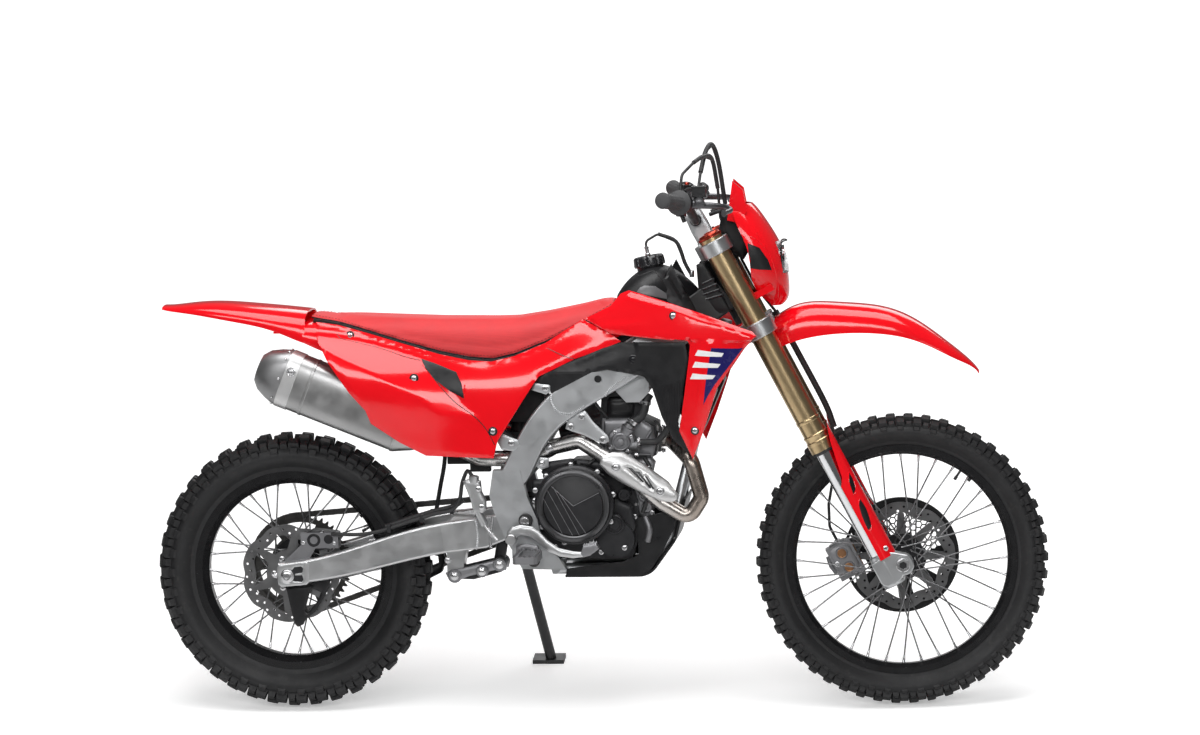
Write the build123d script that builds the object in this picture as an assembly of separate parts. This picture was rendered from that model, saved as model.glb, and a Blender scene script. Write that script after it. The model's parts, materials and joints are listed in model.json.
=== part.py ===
from build123d import *
import math
import os

# An enduro motorcycle, parked leaning to its left on its side stand.
#
# The machine is drawn upright first: X forward, Y to the rider's left, Z up from the ground, with the
# front axle at FRONT_AXLE_X and the rear axle WHEELBASE behind it. The steered parts are then turned
# by STEER_REST, the whole is leaned by LEAN, and it is moved so that the middle of the bottom of its
# box is the origin.

# ---------------------------------------------------------------- driving sizes, in mm and degrees
FRONT_AXLE_X = 1477.0
WHEELBASE = 1477.0
REAR_AXLE_X = FRONT_AXLE_X - WHEELBASE
FRONT_RADIUS = 351.0
REAR_RADIUS = 337.0
FRONT_TYRE_HALF = 44.0
REAR_TYRE_HALF = 59.0
FRONT_BEAD_RADIUS = 268.0
REAR_BEAD_RADIUS = 232.0
TYRE_WALL = 9.0
SPOKES_PER_WHEEL = 36
SPOKE_RADIUS = 1.8

RAKE = 27.0
AXLE_LEAD = 38.0
CLAMP_OFFSET = 20.0
FORK_HALF_SPACING = 107.0
STEER_REST = 4.0
STEER_LIMIT = 42.0
LEAN = 10.0

FRONT_AXLE_RADIUS = 12.0
REAR_AXLE_RADIUS = 12.5
RUNNING_GAP = 0.08
SEAT_GAP = 0.3
MOVING_GAP = 5.0

FRONT_DISC_RADIUS = 130.0
REAR_DISC_RADIUS = 120.0
DISC_THICK = 4.0
FRONT_DISC_Y = 60.0
REAR_DISC_Y = -72.0

CHAIN_PITCH = 15.875
REAR_TEETH = 48
FRONT_TEETH = 13
CHAIN_Y = 76.0
CHAIN_WIDTH = 18.0
CHAIN_DEPTH = 14.0
CHAIN_GAP = 3.0
FRONT_SPROCKET = (655.0, 478.0)
SPROCKET_THICK = 7.0

PIVOT = (582.0, 468.0)
PIVOT_BOLT_RADIUS = 10.0
SWINGARM_INNER = 91.0
SWINGARM_WALL = 28.0

FORK_TUBE_RADIUS = 29.0
SLIDER_RADIUS = 24.5
FORK_TUBE_BOTTOM = 338.0
LUG_TOP = 34.0
FORK_TUBE_TOP = 902.0
LOWER_CLAMP = (636.0, 674.0)
UPPER_CLAMP = (858.0, 892.0)
HEAD_TUBE = (682.0, 850.0)
STEM_RADIUS = 14.0
HEAD_TUBE_RADIUS = 29.0
HEAD_TUBE_BORE = 20.0

BAR_RADIUS = 11.1
BAR_CENTRE_RADIUS = 14.3
GRIP_RADIUS = 16.0
GRIP_LENGTH = 122.0
BAR_AHEAD = 6.0
BAR_HEIGHT = 953.0
BAR_BEND = (14.0, 230.0, 1000.0)
BAR_HALF_WIDTH = 402.0
BAR_END = (-25.0, BAR_HALF_WIDTH, 1038.0)

PANEL_WALL = 4.0
RADIATOR_OUTER = 164.0
SKID_WALL = 5.0
SKID_HALF = 90.0
EXHAUST_RADIUS = 19.0
SILENCER_HALF_HEIGHT = 71.0
SILENCER_HALF_WIDTH = 51.0
HOSE_RADIUS = 3.5

FRAME_PLATE = (96.0, 122.0)
ENGINE_HALF = 84.0
CYLINDER_HALF = 62.0
CASE_LEFT = 58.0
CRADLE_RADIUS = 13.0
CRADLE_HIGH = (976.0, -20.0, 620.0)
CRADLE_TURN = [(924.0, -72.0, 420.0), (868.0, -72.0, 344.0)]
CRADLE_END = (640.0, -72.0, 344.0)
RAIL_RADIUS = 9.0
RAIL_END = (96.0, -60.0, 914.0)
STRUT_RADIUS = 8.0
SEAT_CROSS = (480.0, 834.0)
PEG_TOP = 403.0
SHOCK_FOOT = (500.0, 345.0)
SHOCK_TOP = (572.0, 742.0)
SHOCK_CROSS = (648.0, 742.0)
SHOCK_EYE_HALF = 16.0
SHOCK_BOLT_RADIUS = 6.0
SPRING_RADIUS = 32.0
STAND_PIVOT = (540.0, 128.0, 366.0)
STAND_FOOT_ACROSS = 305.0
STAND_FOOT_AHEAD = 585.0
STAND_FOLDED = (-0.975, 0.15, 0.165)

# ---------------------------------------------------------------- frames and placing
STEER_AHEAD = (math.cos(math.radians(RAKE)), 0.0, math.sin(math.radians(RAKE)))
STEER_UP = (-math.sin(math.radians(RAKE)), 0.0, math.cos(math.radians(RAKE)))
FRONT_AXLE_OFFSET = AXLE_LEAD + CLAMP_OFFSET
STEER_FOOT = Vector(FRONT_AXLE_X, 0, FRONT_RADIUS) - Vector(*STEER_AHEAD) * FRONT_AXLE_OFFSET
STEER_AXIS = Axis(STEER_FOOT, Vector(*STEER_UP))
# In the fork's frame, x is ahead of the steering axis, y to the left, and z along it above the axle.
FORK_FRAME = Location(Plane(origin=STEER_FOOT, x_dir=STEER_AHEAD, z_dir=STEER_UP))


def lean_point(x, y, z):
    """A point of the upright machine, after the lean."""
    lean = math.radians(LEAN)
    return (x, y * math.cos(lean) + z * math.sin(lean), -y * math.sin(lean) + z * math.cos(lean))


def unlean_point(x, y, z):
    """The upright machine's point that the lean brings to x, y, z."""
    lean = math.radians(LEAN)
    return (x, y * math.cos(lean) - z * math.sin(lean), y * math.sin(lean) + z * math.cos(lean))


# ---------------------------------------------------------------- small helpers
def run(points):
    """One edge: a straight line through two points, or a smooth curve through more."""
    return Line(*points) if len(points) == 2 else Spline(*points)


def closed_face(*runs):
    """A flat face bounded by runs of points, each starting where the one before it ends."""
    return make_face([run(points) for points in runs])


def side_prism(y_low, y_high, *runs):
    """A side outline, given as runs of (x, z) points, made solid from y_low to y_high."""
    face = closed_face(*[[(x, y_low, z) for x, z in points] for points in runs])
    return extrude(face, amount=y_high - y_low, dir=(0, 1, 0))


def side_polygon(y_low, y_high, points):
    """A side outline of straight lines, given as (x, z) points, made solid from y_low to y_high."""
    face = make_face(Polyline(*[(x, y_low, z) for x, z in points], close=True))
    return extrude(face, amount=y_high - y_low, dir=(0, 1, 0))


def bar_between(start, end, radius):
    """A round bar from one point to another."""
    start, end = Vector(*start), Vector(*end)
    plane = Plane(origin=start, z_dir=end - start)
    return extrude(plane * Circle(radius), amount=(end - start).length)


def pipe(points, radii, radius, inner=0.0):
    """A round pipe along straight runs joined by tangent arcs."""
    path = FilletPolyline(*points, radius=radii)
    section = Plane(origin=path @ 0, z_dir=path % 0) * Circle(radius)
    solid = sweep(section, path=path)
    if inner:
        solid -= sweep(Plane(origin=path @ 0, z_dir=path % 0) * Circle(inner), path=path)
    return solid


def across(x, z, y_low, y_high, radius):
    """A round bar or disc that lies across the machine."""
    return bar_between((x, y_low, z), (x, y_high, z), radius)


def block(x_low, x_high, y_low, y_high, z_low, z_high):
    """A plain block between six limits."""
    size = (x_high - x_low, y_high - y_low, z_high - z_low)
    middle = ((x_low + x_high) / 2, (y_low + y_high) / 2, (z_low + z_high) / 2)
    return Pos(*middle) * Box(*size)


def spun(*runs):
    """A solid of revolution about the Y axis, from runs of (radius, y) points."""
    return revolve(closed_face(*runs), axis=Axis.Y, revolution_arc=360)


def both_sides(shape):
    """A shape and its mirror image, as two solids."""
    return Compound(children=[*solids_of(shape), *solids_of(mirror(shape, about=Plane.XZ))])


def solids_of(shape):
    return list(shape.solids())


def strip(outer, wall, inward):
    """A thin closed face along a curve: outer is its points, and inward gives each one's way in."""
    inner = [tuple(p[i] + wall * d[i] for i in range(3)) for p, d in zip(outer, inward)]
    return closed_face(outer, [outer[-1], inner[-1]], inner[::-1], [inner[0], outer[0]])


def arch_points(x, half, z_edge, z_top, square):
    """Points of a superellipse arch across the machine. square is its exponent: 2 is an ellipse."""
    points = []
    for step in range(11):
        angle = math.pi * step / 10
        y = -math.copysign(abs(math.cos(angle)) ** (2 / square), math.cos(angle))
        z = abs(math.sin(angle)) ** (2 / square)
        points.append((x, half * y, z_edge + (z_top - z_edge) * z))
    return points


def evenly(stations, pitch):
    """The same row of stations, read off at even steps of about pitch along its length."""
    first, last = stations[0][0], stations[-1][0]
    count = max(3, round(abs(last - first) / pitch))
    rows = []
    for step in range(count + 1):
        x = first + (last - first) * step / count
        pairs = zip(stations, stations[1:])
        low, high = next((p, q) for p, q in pairs if x <= q[0] + 0.001 or q is stations[-1])
        share = (x - low[0]) / (high[0] - low[0])
        rows.append(tuple(u + (v - u) * share for u, v in zip(low, high)))
    return rows


def arch_solid(stations, pitch=60):
    """A solid lofted over arches on flat bottoms: (x, half width, bottom, top, squareness)."""
    faces = []
    for x, half, z_edge, z_top, square in evenly(stations, pitch):
        points = arch_points(x, half, z_edge, z_top, square)
        faces.append(closed_face(points, [points[-1], points[0]]))
    return loft(faces)


def arch_shell(stations, wall, pitch=60):
    """A thin shell lofted over arches: (x, half width, edge height, top height, squareness)."""
    faces = []
    for x, half, z_edge, z_top, square in evenly(stations, pitch):
        outer = arch_points(x, half, z_edge, z_top, square)
        inner = arch_points(x, half - wall, z_edge, z_top - wall, square)
        faces.append(closed_face(outer, [outer[-1], inner[-1]], inner[::-1], [inner[0], outer[0]]))
    return loft(faces)


def curved_slab(levels, wall):
    """A curved sheet standing on edge on the right side: levels is [(z, [(x, y), ...]), ...]."""
    faces = []
    for z, points in levels:
        outer = [(x, y, z) for x, y in points]
        faces.append(strip(outer, wall, [(0, 1, 0)] * len(outer)))
    return loft(faces)


def beam_faces(stations):
    """Rounded sections for a beam: (x, y, z, depth, thickness, slope in degrees)."""
    faces = []
    for x, y, z, depth, thickness, slope in stations:
        ahead = (math.cos(math.radians(slope)), 0, math.sin(math.radians(slope)))
        plane = Plane(origin=(x, y, z), x_dir=(0, 1, 0), z_dir=ahead)
        corner = 0.22 * min(depth, thickness)
        faces.append(plane * RectangleRounded(thickness, depth, corner))
    return faces


def beam(stations):
    return loft(beam_faces(stations))


# ---------------------------------------------------------------- wheels, about the origin
def tyre_curve(outer_radius, half_width, flange_radius, bead_half, inset):
    """The crown and side walls of a tyre from one flange to the other, as (radius, y) points."""
    low = flange_radius + 2
    tall = outer_radius - inset - low
    wide = half_width - inset
    side = [
        (low, bead_half - SEAT_GAP - inset), (low + 0.30 * tall, 0.90 * wide),
        (low + 0.62 * tall, wide), (low + 0.89 * tall, 0.68 * wide),
    ]
    return [*side, (low + tall, 0), *[(r, -y) for r, y in reversed(side)]]


def tyre(outer_radius, half_width, bead_radius, bead_half, flange_radius):
    """A tyre with an open inside. Its outer surface is that of the tips of the tread blocks."""
    seat_radius = bead_radius + SEAT_GAP
    outer, inner = [tyre_curve(outer_radius, half_width, flange_radius, bead_half, inset)
                    for inset in (0, TYRE_WALL)]
    corners = [(seat_radius, curve[side][1]) for curve in (outer, inner) for side in (0, -1)]
    return spun([corners[0], outer[0]], outer, [outer[-1], corners[1]], [corners[1], corners[3]],
                [corners[3], inner[-1]], inner[::-1], [inner[0], corners[2]], [corners[2], corners[0]])


def rim(bead_radius, bead_half, flange_radius, bed_radius):
    """A drop-centre rim: two flanges, bead seats and the bed that carries the nipples."""
    half = bead_half + 4
    side = [
        (flange_radius, half),
        (flange_radius, bead_half),
        (bead_radius, bead_half),
        (bead_radius - 1, 0.72 * bead_half),
        (bed_radius + 6, 0.40 * bead_half),
    ]
    under = [(bed_radius, 0.46 * bead_half), (bead_radius - 6, half)]
    points = [*side, *[(r, -y) for r, y in reversed(side)], *[(r, -y) for r, y in reversed(under)], *under]
    return revolve(make_face(Polyline(*points, close=True)), axis=Axis.Y, revolution_arc=360)


def spokes(hub_radius, flange_y, drop, bed_radius, bed_y, cross_angle):
    """Spokes of two flanges. Each flange has them in turn on its outer and its inner face.

    drop is how far a spoke on the outer face leans in before it has passed the flange's edge.
    """
    per_flange = SPOKES_PER_WHEEL // 2
    step = 360 / per_flange
    off_face = FLANGE_THICK / 2 + SPOKE_RADIUS + SEAT_GAP
    bars = []
    for side in (-1, 1):
        for number in range(per_flange):
            turn = 1 if number % 2 else -1
            rim_angle = math.radians(step * number + (step / 2 if side > 0 else 0))
            hub_angle = rim_angle + turn * math.radians(cross_angle)
            y_hub = side * (flange_y + (off_face + drop if turn > 0 else -off_face))
            start = (hub_radius * math.cos(hub_angle), y_hub, hub_radius * math.sin(hub_angle))
            end = (bed_radius * math.cos(rim_angle), side * bed_y, bed_radius * math.sin(rim_angle))
            bars.append(bar_between(start, end, SPOKE_RADIUS).solid())
    return Compound(children=bars)


def hub(bore_radius, profile):
    """A hub from its (radius, y) outline, with its bore."""
    y_low, y_high = profile[0][1], profile[-1][1]
    points = [(bore_radius, y_low), *profile, (bore_radius, y_high)]
    return revolve(make_face(Polyline(*points, close=True)), axis=Axis.Y, revolution_arc=360)


def plate_ring(y_middle, thick, outer_radius, inner_radius):
    """A flat ring across the wheel."""
    low, high = y_middle - thick / 2, y_middle + thick / 2
    return across(0, 0, low, high, outer_radius) - across(0, 0, low, high, inner_radius)


FRONT_BEAD_HALF = 21.0
REAR_BEAD_HALF = 27.0
FRONT_FLANGE_RADIUS = 277.0
REAR_FLANGE_RADIUS = 244.0
FRONT_BED_RADIUS = 253.0
REAR_BED_RADIUS = 212.0
FRONT_DISC_SEAT = 36.0
REAR_DISC_SEAT = 44.0
SPROCKET_SEAT = 52.0
REAR_PITCH_RADIUS = REAR_TEETH * CHAIN_PITCH / (2 * math.pi)
FRONT_PITCH_RADIUS = FRONT_TEETH * CHAIN_PITCH / (2 * math.pi)
SPROCKET_RADIUS = REAR_PITCH_RADIUS - CHAIN_DEPTH / 2 - 1.0
FLANGE_THICK = 5.0
FRONT_FLANGE_Y = 29.0
REAR_FLANGE_Y = 33.0
FRONT_SPOKE_CIRCLE = 31.0
REAR_SPOKE_CIRCLE = 47.0


def front_wheel():
    disc_face = FRONT_DISC_Y - DISC_THICK / 2
    inner, outer = FRONT_FLANGE_Y - FLANGE_THICK / 2, FRONT_FLANGE_Y + FLANGE_THICK / 2
    edge = FRONT_SPOKE_CIRCLE + 6
    seat = FRONT_DISC_SEAT + 18
    profile = [
        (24, -52), (24, -outer), (edge, -outer), (edge, -inner), (21, -inner), (21, inner),
        (edge, inner), (edge, outer), (24, outer), (24, disc_face - 8), (seat, disc_face - 6),
        (seat, disc_face), (26, disc_face), (26, FRONT_DISC_Y + 6),
    ]
    return {
        "front_tyre": tyre(FRONT_RADIUS, FRONT_TYRE_HALF, FRONT_BEAD_RADIUS, FRONT_BEAD_HALF,
                           FRONT_FLANGE_RADIUS),
        "front_rim": rim(FRONT_BEAD_RADIUS, FRONT_BEAD_HALF, FRONT_FLANGE_RADIUS, FRONT_BED_RADIUS),
        "front_spokes": spokes(FRONT_SPOKE_CIRCLE, FRONT_FLANGE_Y, 2.0, FRONT_BED_RADIUS - 0.6, 5.0, 68),
        "front_hub": hub(FRONT_AXLE_RADIUS + RUNNING_GAP, profile),
        "front_brake_disc": plate_ring(FRONT_DISC_Y, DISC_THICK, FRONT_DISC_RADIUS, FRONT_DISC_SEAT),
    }


def rear_wheel():
    disc_face = REAR_DISC_Y + DISC_THICK / 2
    sprocket_face = CHAIN_Y - SPROCKET_THICK / 2
    inner, outer = REAR_FLANGE_Y - FLANGE_THICK / 2, REAR_FLANGE_Y + FLANGE_THICK / 2
    edge = REAR_SPOKE_CIRCLE + 6
    disc_seat, sprocket_seat = REAR_DISC_SEAT + 16, SPROCKET_SEAT + 18
    profile = [
        (26, REAR_DISC_Y - 6), (26, disc_face), (disc_seat, disc_face), (disc_seat, disc_face + 6),
        (32, disc_face + 10), (32, -outer), (edge, -outer), (edge, -inner), (30, -inner), (30, inner),
        (edge, inner), (edge, outer), (32, outer), (32, sprocket_face - 10),
        (sprocket_seat, sprocket_face - 7), (sprocket_seat, sprocket_face), (30, sprocket_face),
        (30, CHAIN_Y + 5),
    ]
    return {
        "rear_tyre": tyre(REAR_RADIUS, REAR_TYRE_HALF, REAR_BEAD_RADIUS, REAR_BEAD_HALF,
                          REAR_FLANGE_RADIUS),
        "rear_rim": rim(REAR_BEAD_RADIUS, REAR_BEAD_HALF, REAR_FLANGE_RADIUS, REAR_BED_RADIUS),
        "rear_spokes": spokes(REAR_SPOKE_CIRCLE, REAR_FLANGE_Y, 2.7, REAR_BED_RADIUS - 0.6, 7.0, 62),
        "rear_hub": hub(REAR_AXLE_RADIUS + RUNNING_GAP, profile),
        "rear_brake_disc": plate_ring(REAR_DISC_Y, DISC_THICK, REAR_DISC_RADIUS, REAR_DISC_SEAT),
        "rear_sprocket": plate_ring(CHAIN_Y, SPROCKET_THICK, SPROCKET_RADIUS, SPROCKET_SEAT),
    }


# ---------------------------------------------------------------- steered parts, in the fork's frame
def in_fork(shape):
    """Takes a shape drawn in the fork's frame to the upright machine, steered straight ahead."""
    return FORK_FRAME * shape


def fork_point(x, y, z):
    """A point of the fork's frame, on the upright machine steered straight ahead."""
    return tuple(STEER_FOOT + Vector(*STEER_AHEAD) * x + Vector(0, y, 0) + Vector(*STEER_UP) * z)


def leg(low, high, radius, side=-1):
    """A round length of one fork leg."""
    middle = (CLAMP_OFFSET, side * FORK_HALF_SPACING)
    return bar_between((*middle, low), (*middle, high), radius)


def clamp(low, high):
    """One fork clamp: two rings round the legs and the bridge between them."""
    outline = [
        (-2, -FORK_HALF_SPACING), (-30, -20), (-30, 20), (-2, FORK_HALF_SPACING),
        (56, FORK_HALF_SPACING), (42, 34), (42, -34), (56, -FORK_HALF_SPACING),
    ]
    bridge = Pos(0, 0, low) * extrude(make_face(Polyline(*outline, close=True)), amount=high - low)
    ring_radius = FORK_TUBE_RADIUS + 9
    shape = bridge + leg(low, high, ring_radius) + leg(low, high, ring_radius, 1)
    bore = FORK_TUBE_RADIUS + SEAT_GAP
    return shape - leg(low - 1, high + 1, bore) - leg(low - 1, high + 1, bore, 1)


def fork_parts():
    stem = bar_between((0, 0, LOWER_CLAMP[0]), (0, 0, UPPER_CLAMP[1] + 8), STEM_RADIUS)
    clamps = clamp(*LOWER_CLAMP) + clamp(*UPPER_CLAMP) + stem
    bearing = HEAD_TUBE_BORE - RUNNING_GAP
    clamps += bar_between((0, 0, HEAD_TUBE[0] + 1), (0, 0, HEAD_TUBE[0] + 13), bearing)
    clamps += bar_between((0, 0, HEAD_TUBE[1] - 13), (0, 0, HEAD_TUBE[1] - 1), bearing)
    for side in (-1, 1):
        low, high = side * 34 - 12, side * 34 + 12
        clamps += block(BAR_AHEAD - 18, BAR_AHEAD + 18, low, high, UPPER_CLAMP[1] - 1, BAR_HEIGHT + 22)
    clamps -= across(BAR_AHEAD, BAR_HEIGHT, -60, 60, BAR_CENTRE_RADIUS + SEAT_GAP)

    tube = leg(FORK_TUBE_BOTTOM, FORK_TUBE_TOP, FORK_TUBE_RADIUS)
    tube += leg(FORK_TUBE_BOTTOM - 8, FORK_TUBE_BOTTOM + 16, FORK_TUBE_RADIUS + 2)
    tube -= leg(FORK_TUBE_BOTTOM - 9, FORK_TUBE_TOP - 30, SLIDER_RADIUS + SEAT_GAP)

    axle_x = FRONT_AXLE_OFFSET
    lug_low, lug_high = FORK_HALF_SPACING - 27, FORK_HALF_SPACING + 29
    slider = leg(-28, FORK_TUBE_BOTTOM + 90, SLIDER_RADIUS)
    lug = block(CLAMP_OFFSET - 26, axle_x + 6, -lug_high, -lug_low, -26, LUG_TOP)
    lug += across(axle_x, 0, -lug_high, -lug_low, 25)
    slider += lug
    slider -= across(axle_x, 0, -lug_high - 1, -lug_low + 1, FRONT_AXLE_RADIUS + SEAT_GAP)

    axle = across(axle_x, 0, -lug_high - 3, lug_high + 3, FRONT_AXLE_RADIUS)
    axle += across(axle_x, 0, -lug_low + SEAT_GAP, -53.5, 17)
    axle += across(axle_x, 0, FRONT_DISC_Y + 7.5, lug_low - SEAT_GAP, 17)
    axle += across(axle_x, 0, lug_high + SEAT_GAP, lug_high + 9, 18)

    caliper = block(-98, -34, 42, 92, 12, 98) + block(-50, CLAMP_OFFSET - SLIDER_RADIUS - 1, 80, 92, 50, 92)
    swept = across(axle_x, 0, FRONT_DISC_Y - DISC_THICK / 2 - MOVING_GAP,
                   FRONT_DISC_Y + DISC_THICK / 2 + MOVING_GAP, FRONT_DISC_RADIUS + MOVING_GAP)
    caliper -= swept

    guard = across(axle_x, 0, 72, 75, FRONT_DISC_RADIUS + 7)
    guard -= across(axle_x, 0, 71, 76, 20)
    guard -= block(-130, -28, 71, 76, 6, 104)
    guard += across(axle_x, 0, 72, lug_low - SEAT_GAP, 38) - across(axle_x, 0, 71, lug_low, 20)

    return {
        "triple_clamps": in_fork(clamps),
        "fork_tubes": both_sides(in_fork(tube)),
        "fork_sliders": both_sides(in_fork(slider)),
        "front_axle": in_fork(axle),
        "front_caliper": in_fork(caliper),
        "front_disc_guard": in_fork(guard),
        "fork_guards": fork_guards(),
        "front_fender": front_fender(),
        "handlebar": in_fork(handlebar()),
        "bar_controls": bar_controls(),
        "control_cables": control_cables(),
        **headlight_parts(),
    }


def fork_guards():
    outline = [
        (1300, 699), (1314, 684), (1366, 606), (1422, 493), (1459, 409), (1458, 380), (1410, 351),
        (1381, 395), (1356, 445), (1330, 518), (1336, 562), (1322, 607), (1309, 650),
    ]
    inner = FORK_TUBE_RADIUS + 5
    low, high = LUG_TOP + SEAT_GAP, 460
    shell = leg(low, high, inner + 3) - leg(low - 1, high + 1, inner)
    front = block(CLAMP_OFFSET - 4, CLAMP_OFFSET + 60, -180, -97, -10, 470)
    guard = in_fork(shell & front) & side_polygon(-180, -97, outline)
    return both_sides(guard)


def front_fender():
    shell = arch_shell([
        (1182, 62, 862, 940, 3.0), (1214, 70, 880, 965, 3.0), (1279, 79, 896, 975, 3.0),
        (1351, 85, 902, 971, 2.9), (1431, 87, 899, 962, 2.8), (1484, 83, 890, 946, 2.7),
        (1555, 72, 864, 905, 2.6), (1617, 54, 830, 855, 2.5), (1668, 24, 793, 804, 2.4),
    ], PANEL_WALL)
    tongue = in_fork(block(-12, 72, -64, 64, LOWER_CLAMP[0] - 7, LOWER_CLAMP[0] - SEAT_GAP))
    return shell + tongue


def handlebar():
    points = [BAR_END, BAR_BEND, (BAR_AHEAD, 92, BAR_HEIGHT)]
    path = [*points, *[(x, -y, z) for x, y, z in reversed(points)]]
    shape = pipe(path, 60, BAR_RADIUS)
    shape += across(BAR_AHEAD, BAR_HEIGHT, -58, 58, BAR_CENTRE_RADIUS)
    end, inner = Vector(*points[0]), Vector(*points[1])
    along = (inner - end).normalized()
    for side in (-1, 1):
        outer = Vector(end.X, end.Y * side, end.Z)
        way = Vector(along.X, along.Y * side, along.Z)
        shape += bar_between(outer, outer + way * GRIP_LENGTH, GRIP_RADIUS)
        shape += bar_between(outer + way * (GRIP_LENGTH - 6), outer + way * GRIP_LENGTH, 27)
    return shape


def perch_frame(side):
    """The middle of one perch on the bar, the way out along the bar, and the lever's pivot."""
    start = Vector(*fork_point(*BAR_BEND[:1], side * BAR_BEND[1], BAR_BEND[2]))
    end = Vector(*fork_point(*BAR_END[:1], side * BAR_END[1], BAR_END[2]))
    way = (end - start).normalized()
    centre = start + way * 24
    return centre, way, centre + Vector(34, 0, -4)


def master_cylinder(side):
    """The outer and inner ends of the master cylinder beside one perch."""
    _, _, front = perch_frame(side)
    return front + Vector(4, side * 24, 4), front + Vector(-2, -side * 48, 14)


def bar_controls():
    """Perches, levers, master cylinders and the throttle housing, one piece for each side."""
    pieces = []
    for side in (-1, 1):
        centre, way, front = perch_frame(side)
        perch = bar_between(centre - way * 12, centre + way * 12, BAR_RADIUS + 7)
        perch += bar_between(centre + Vector(14, 0, -1), front, 11)
        outer_end, inner_end = master_cylinder(side)
        perch += bar_between(outer_end, inner_end, 12)
        middle = (outer_end + inner_end) * 0.5
        perch += Pos(middle.X, middle.Y - side * 12, middle.Z + 20) * Box(34, 48, 26)
        lever = [
            tuple(front + Vector(0, side * 4, 0)), tuple(front + Vector(62, side * 34, -4)),
            tuple(front + Vector(80, side * 96, -10)), tuple(front + Vector(62, side * 160, -14)),
        ]
        perch += pipe(lever, 22, 6)
        perch += Pos(*lever[-1]) * Sphere(9)
        if side < 0:
            low = centre + way * 12
            perch += bar_between(low, low + way * 14, 24)
        perch -= bar_between(centre - way * 80, centre + way * 80, BAR_RADIUS + SEAT_GAP)
        pieces.extend(solids_of(perch))
    return Compound(children=pieces)


def control_cables():
    """The front brake hose, over the bars and down the left leg, and the throttle's cable."""
    outer_end, inner_end = master_cylinder(-1)
    along = (inner_end - outer_end).normalized()
    hose = pipe([
        tuple(inner_end + along * 3 * SEAT_GAP), tuple(inner_end + along * 30), (1014, -120, 1292),
        (1026, -70, 1340), (1040, -10, 1354), (1054, 24, 1310), (1068, 40, 1210),
        fork_point(66, 64, 900), fork_point(53, 104, 810), fork_point(53, 107, 730),
        fork_point(66, 107, 664), fork_point(67, 102, 410), fork_point(48, 70, 310), fork_point(6, 66, 250),
        fork_point(-40, 78, 190), fork_point(-64, 88, 140), fork_point(-64, 88, 98 + SEAT_GAP),
    ], 22, HOSE_RADIUS)
    centre, way, _ = perch_frame(-1)
    housing = centre + way * 19 + Vector(-2, 0, 26.4)
    cable = pipe([
        tuple(housing), tuple(housing + Vector(4, 10, 40)), (1000, -190, 1318), (1022, -120, 1330),
        (1040, -40, 1320), (1052, -20, 1250), fork_point(60, -14, 930), fork_point(52, -10, 850),
        fork_point(38, -10, 760), fork_point(36, -10, LOWER_CLAMP[1] + SEAT_GAP),
    ], 22, HOSE_RADIUS)
    return Compound(children=[*solids_of(hose), *solids_of(cable)])


def wrap_face(z, front, side, half, wall):
    """A thin closed strip at one height that wraps from one side round the front to the other."""
    def curve(inset):
        middle = front - inset
        wide = half - inset
        right = [(side, -wide, z), (side + 0.45 * (middle - side), -0.93 * wide, z)]
        right.append((side + 0.86 * (middle - side), -0.55 * wide, z))
        return [*right, (middle, 0, z), *[(x, -y, pz) for x, y, pz in reversed(right)]]

    outer, inner = curve(0), curve(wall)
    return closed_face(outer, [outer[-1], inner[-1]], inner[::-1], [inner[0], outer[0]])


def headlight_parts():
    levels = [
        (969, 1202, 1176, 50), (1004, 1219, 1144, 82), (1044, 1217, 1129, 104), (1085, 1210, 1125, 110),
        (1140, 1187, 1108, 108), (1178, 1163, 1092, 100), (1214, 1134, 1082, 84),
    ]
    mask = loft([wrap_face(z, front, side, half, PANEL_WALL) for z, front, side, half in levels])
    horn = side_polygon(-92, -60, [(1088, 1269), (1113, 1247), (1122, 1196), (1098, 1170), (1074, 1176)])
    mask = mask + horn + mirror(horn, about=Plane.XZ)
    near, far = min(86, FORK_HALF_SPACING - 21), FORK_HALF_SPACING - 7
    for low, high in ((-far, -near), (near, far)):
        mask += in_fork(block(FORK_TUBE_RADIUS + CLAMP_OFFSET - 0.5, 96, low, high, 720, 736))
    window = block(1120, 1240, -58, 58, 1046, 1122)
    mask -= window
    levels = ((1047, 1216), (1084, 1211), (1121, 1196))
    lamp = loft([wrap_solid_face(z, front + 3, 1140, 57.4) for z, front in levels])
    return {"headlight_mask": mask, "headlight": lamp}


def wrap_solid_face(z, front, back, half):
    """The lamp's outline at one height: curved in front, straight behind."""
    curve = [(front - 14, -half, z), (front - 4, -0.55 * half, z), (front, 0, z)]
    curve = [*curve, (front - 4, 0.55 * half, z), (front - 14, half, z)]
    return closed_face(curve, [curve[-1], (back, half, z)], [(back, half, z), (back, -half, z)],
                       [(back, -half, z), curve[0]])


# ---------------------------------------------------------------- chassis, upright
def spar(grow=0.0):
    """The right-hand spar, from the head tube round to the pivot plate."""
    stations = [
        (1066, -28, 1004, 92, 22, 40), (1010, -48, 962, 86, 24, 37), (930, -88, 905, 84, 26, 35),
        (840, -108, 845, 80, 26, 32), (745, -109, 790, 82, 26, 34), (668, -109, 738, 76, 26, 42),
        (598, -109, 652, 68, 26, 56), (545, -109, 560, 62, 26, 68),
    ]
    grown = [(x, y, z, deep + 2 * grow, thick + 2 * grow, slope)
             for x, y, z, deep, thick, slope in stations]
    return beam(grown)


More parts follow.
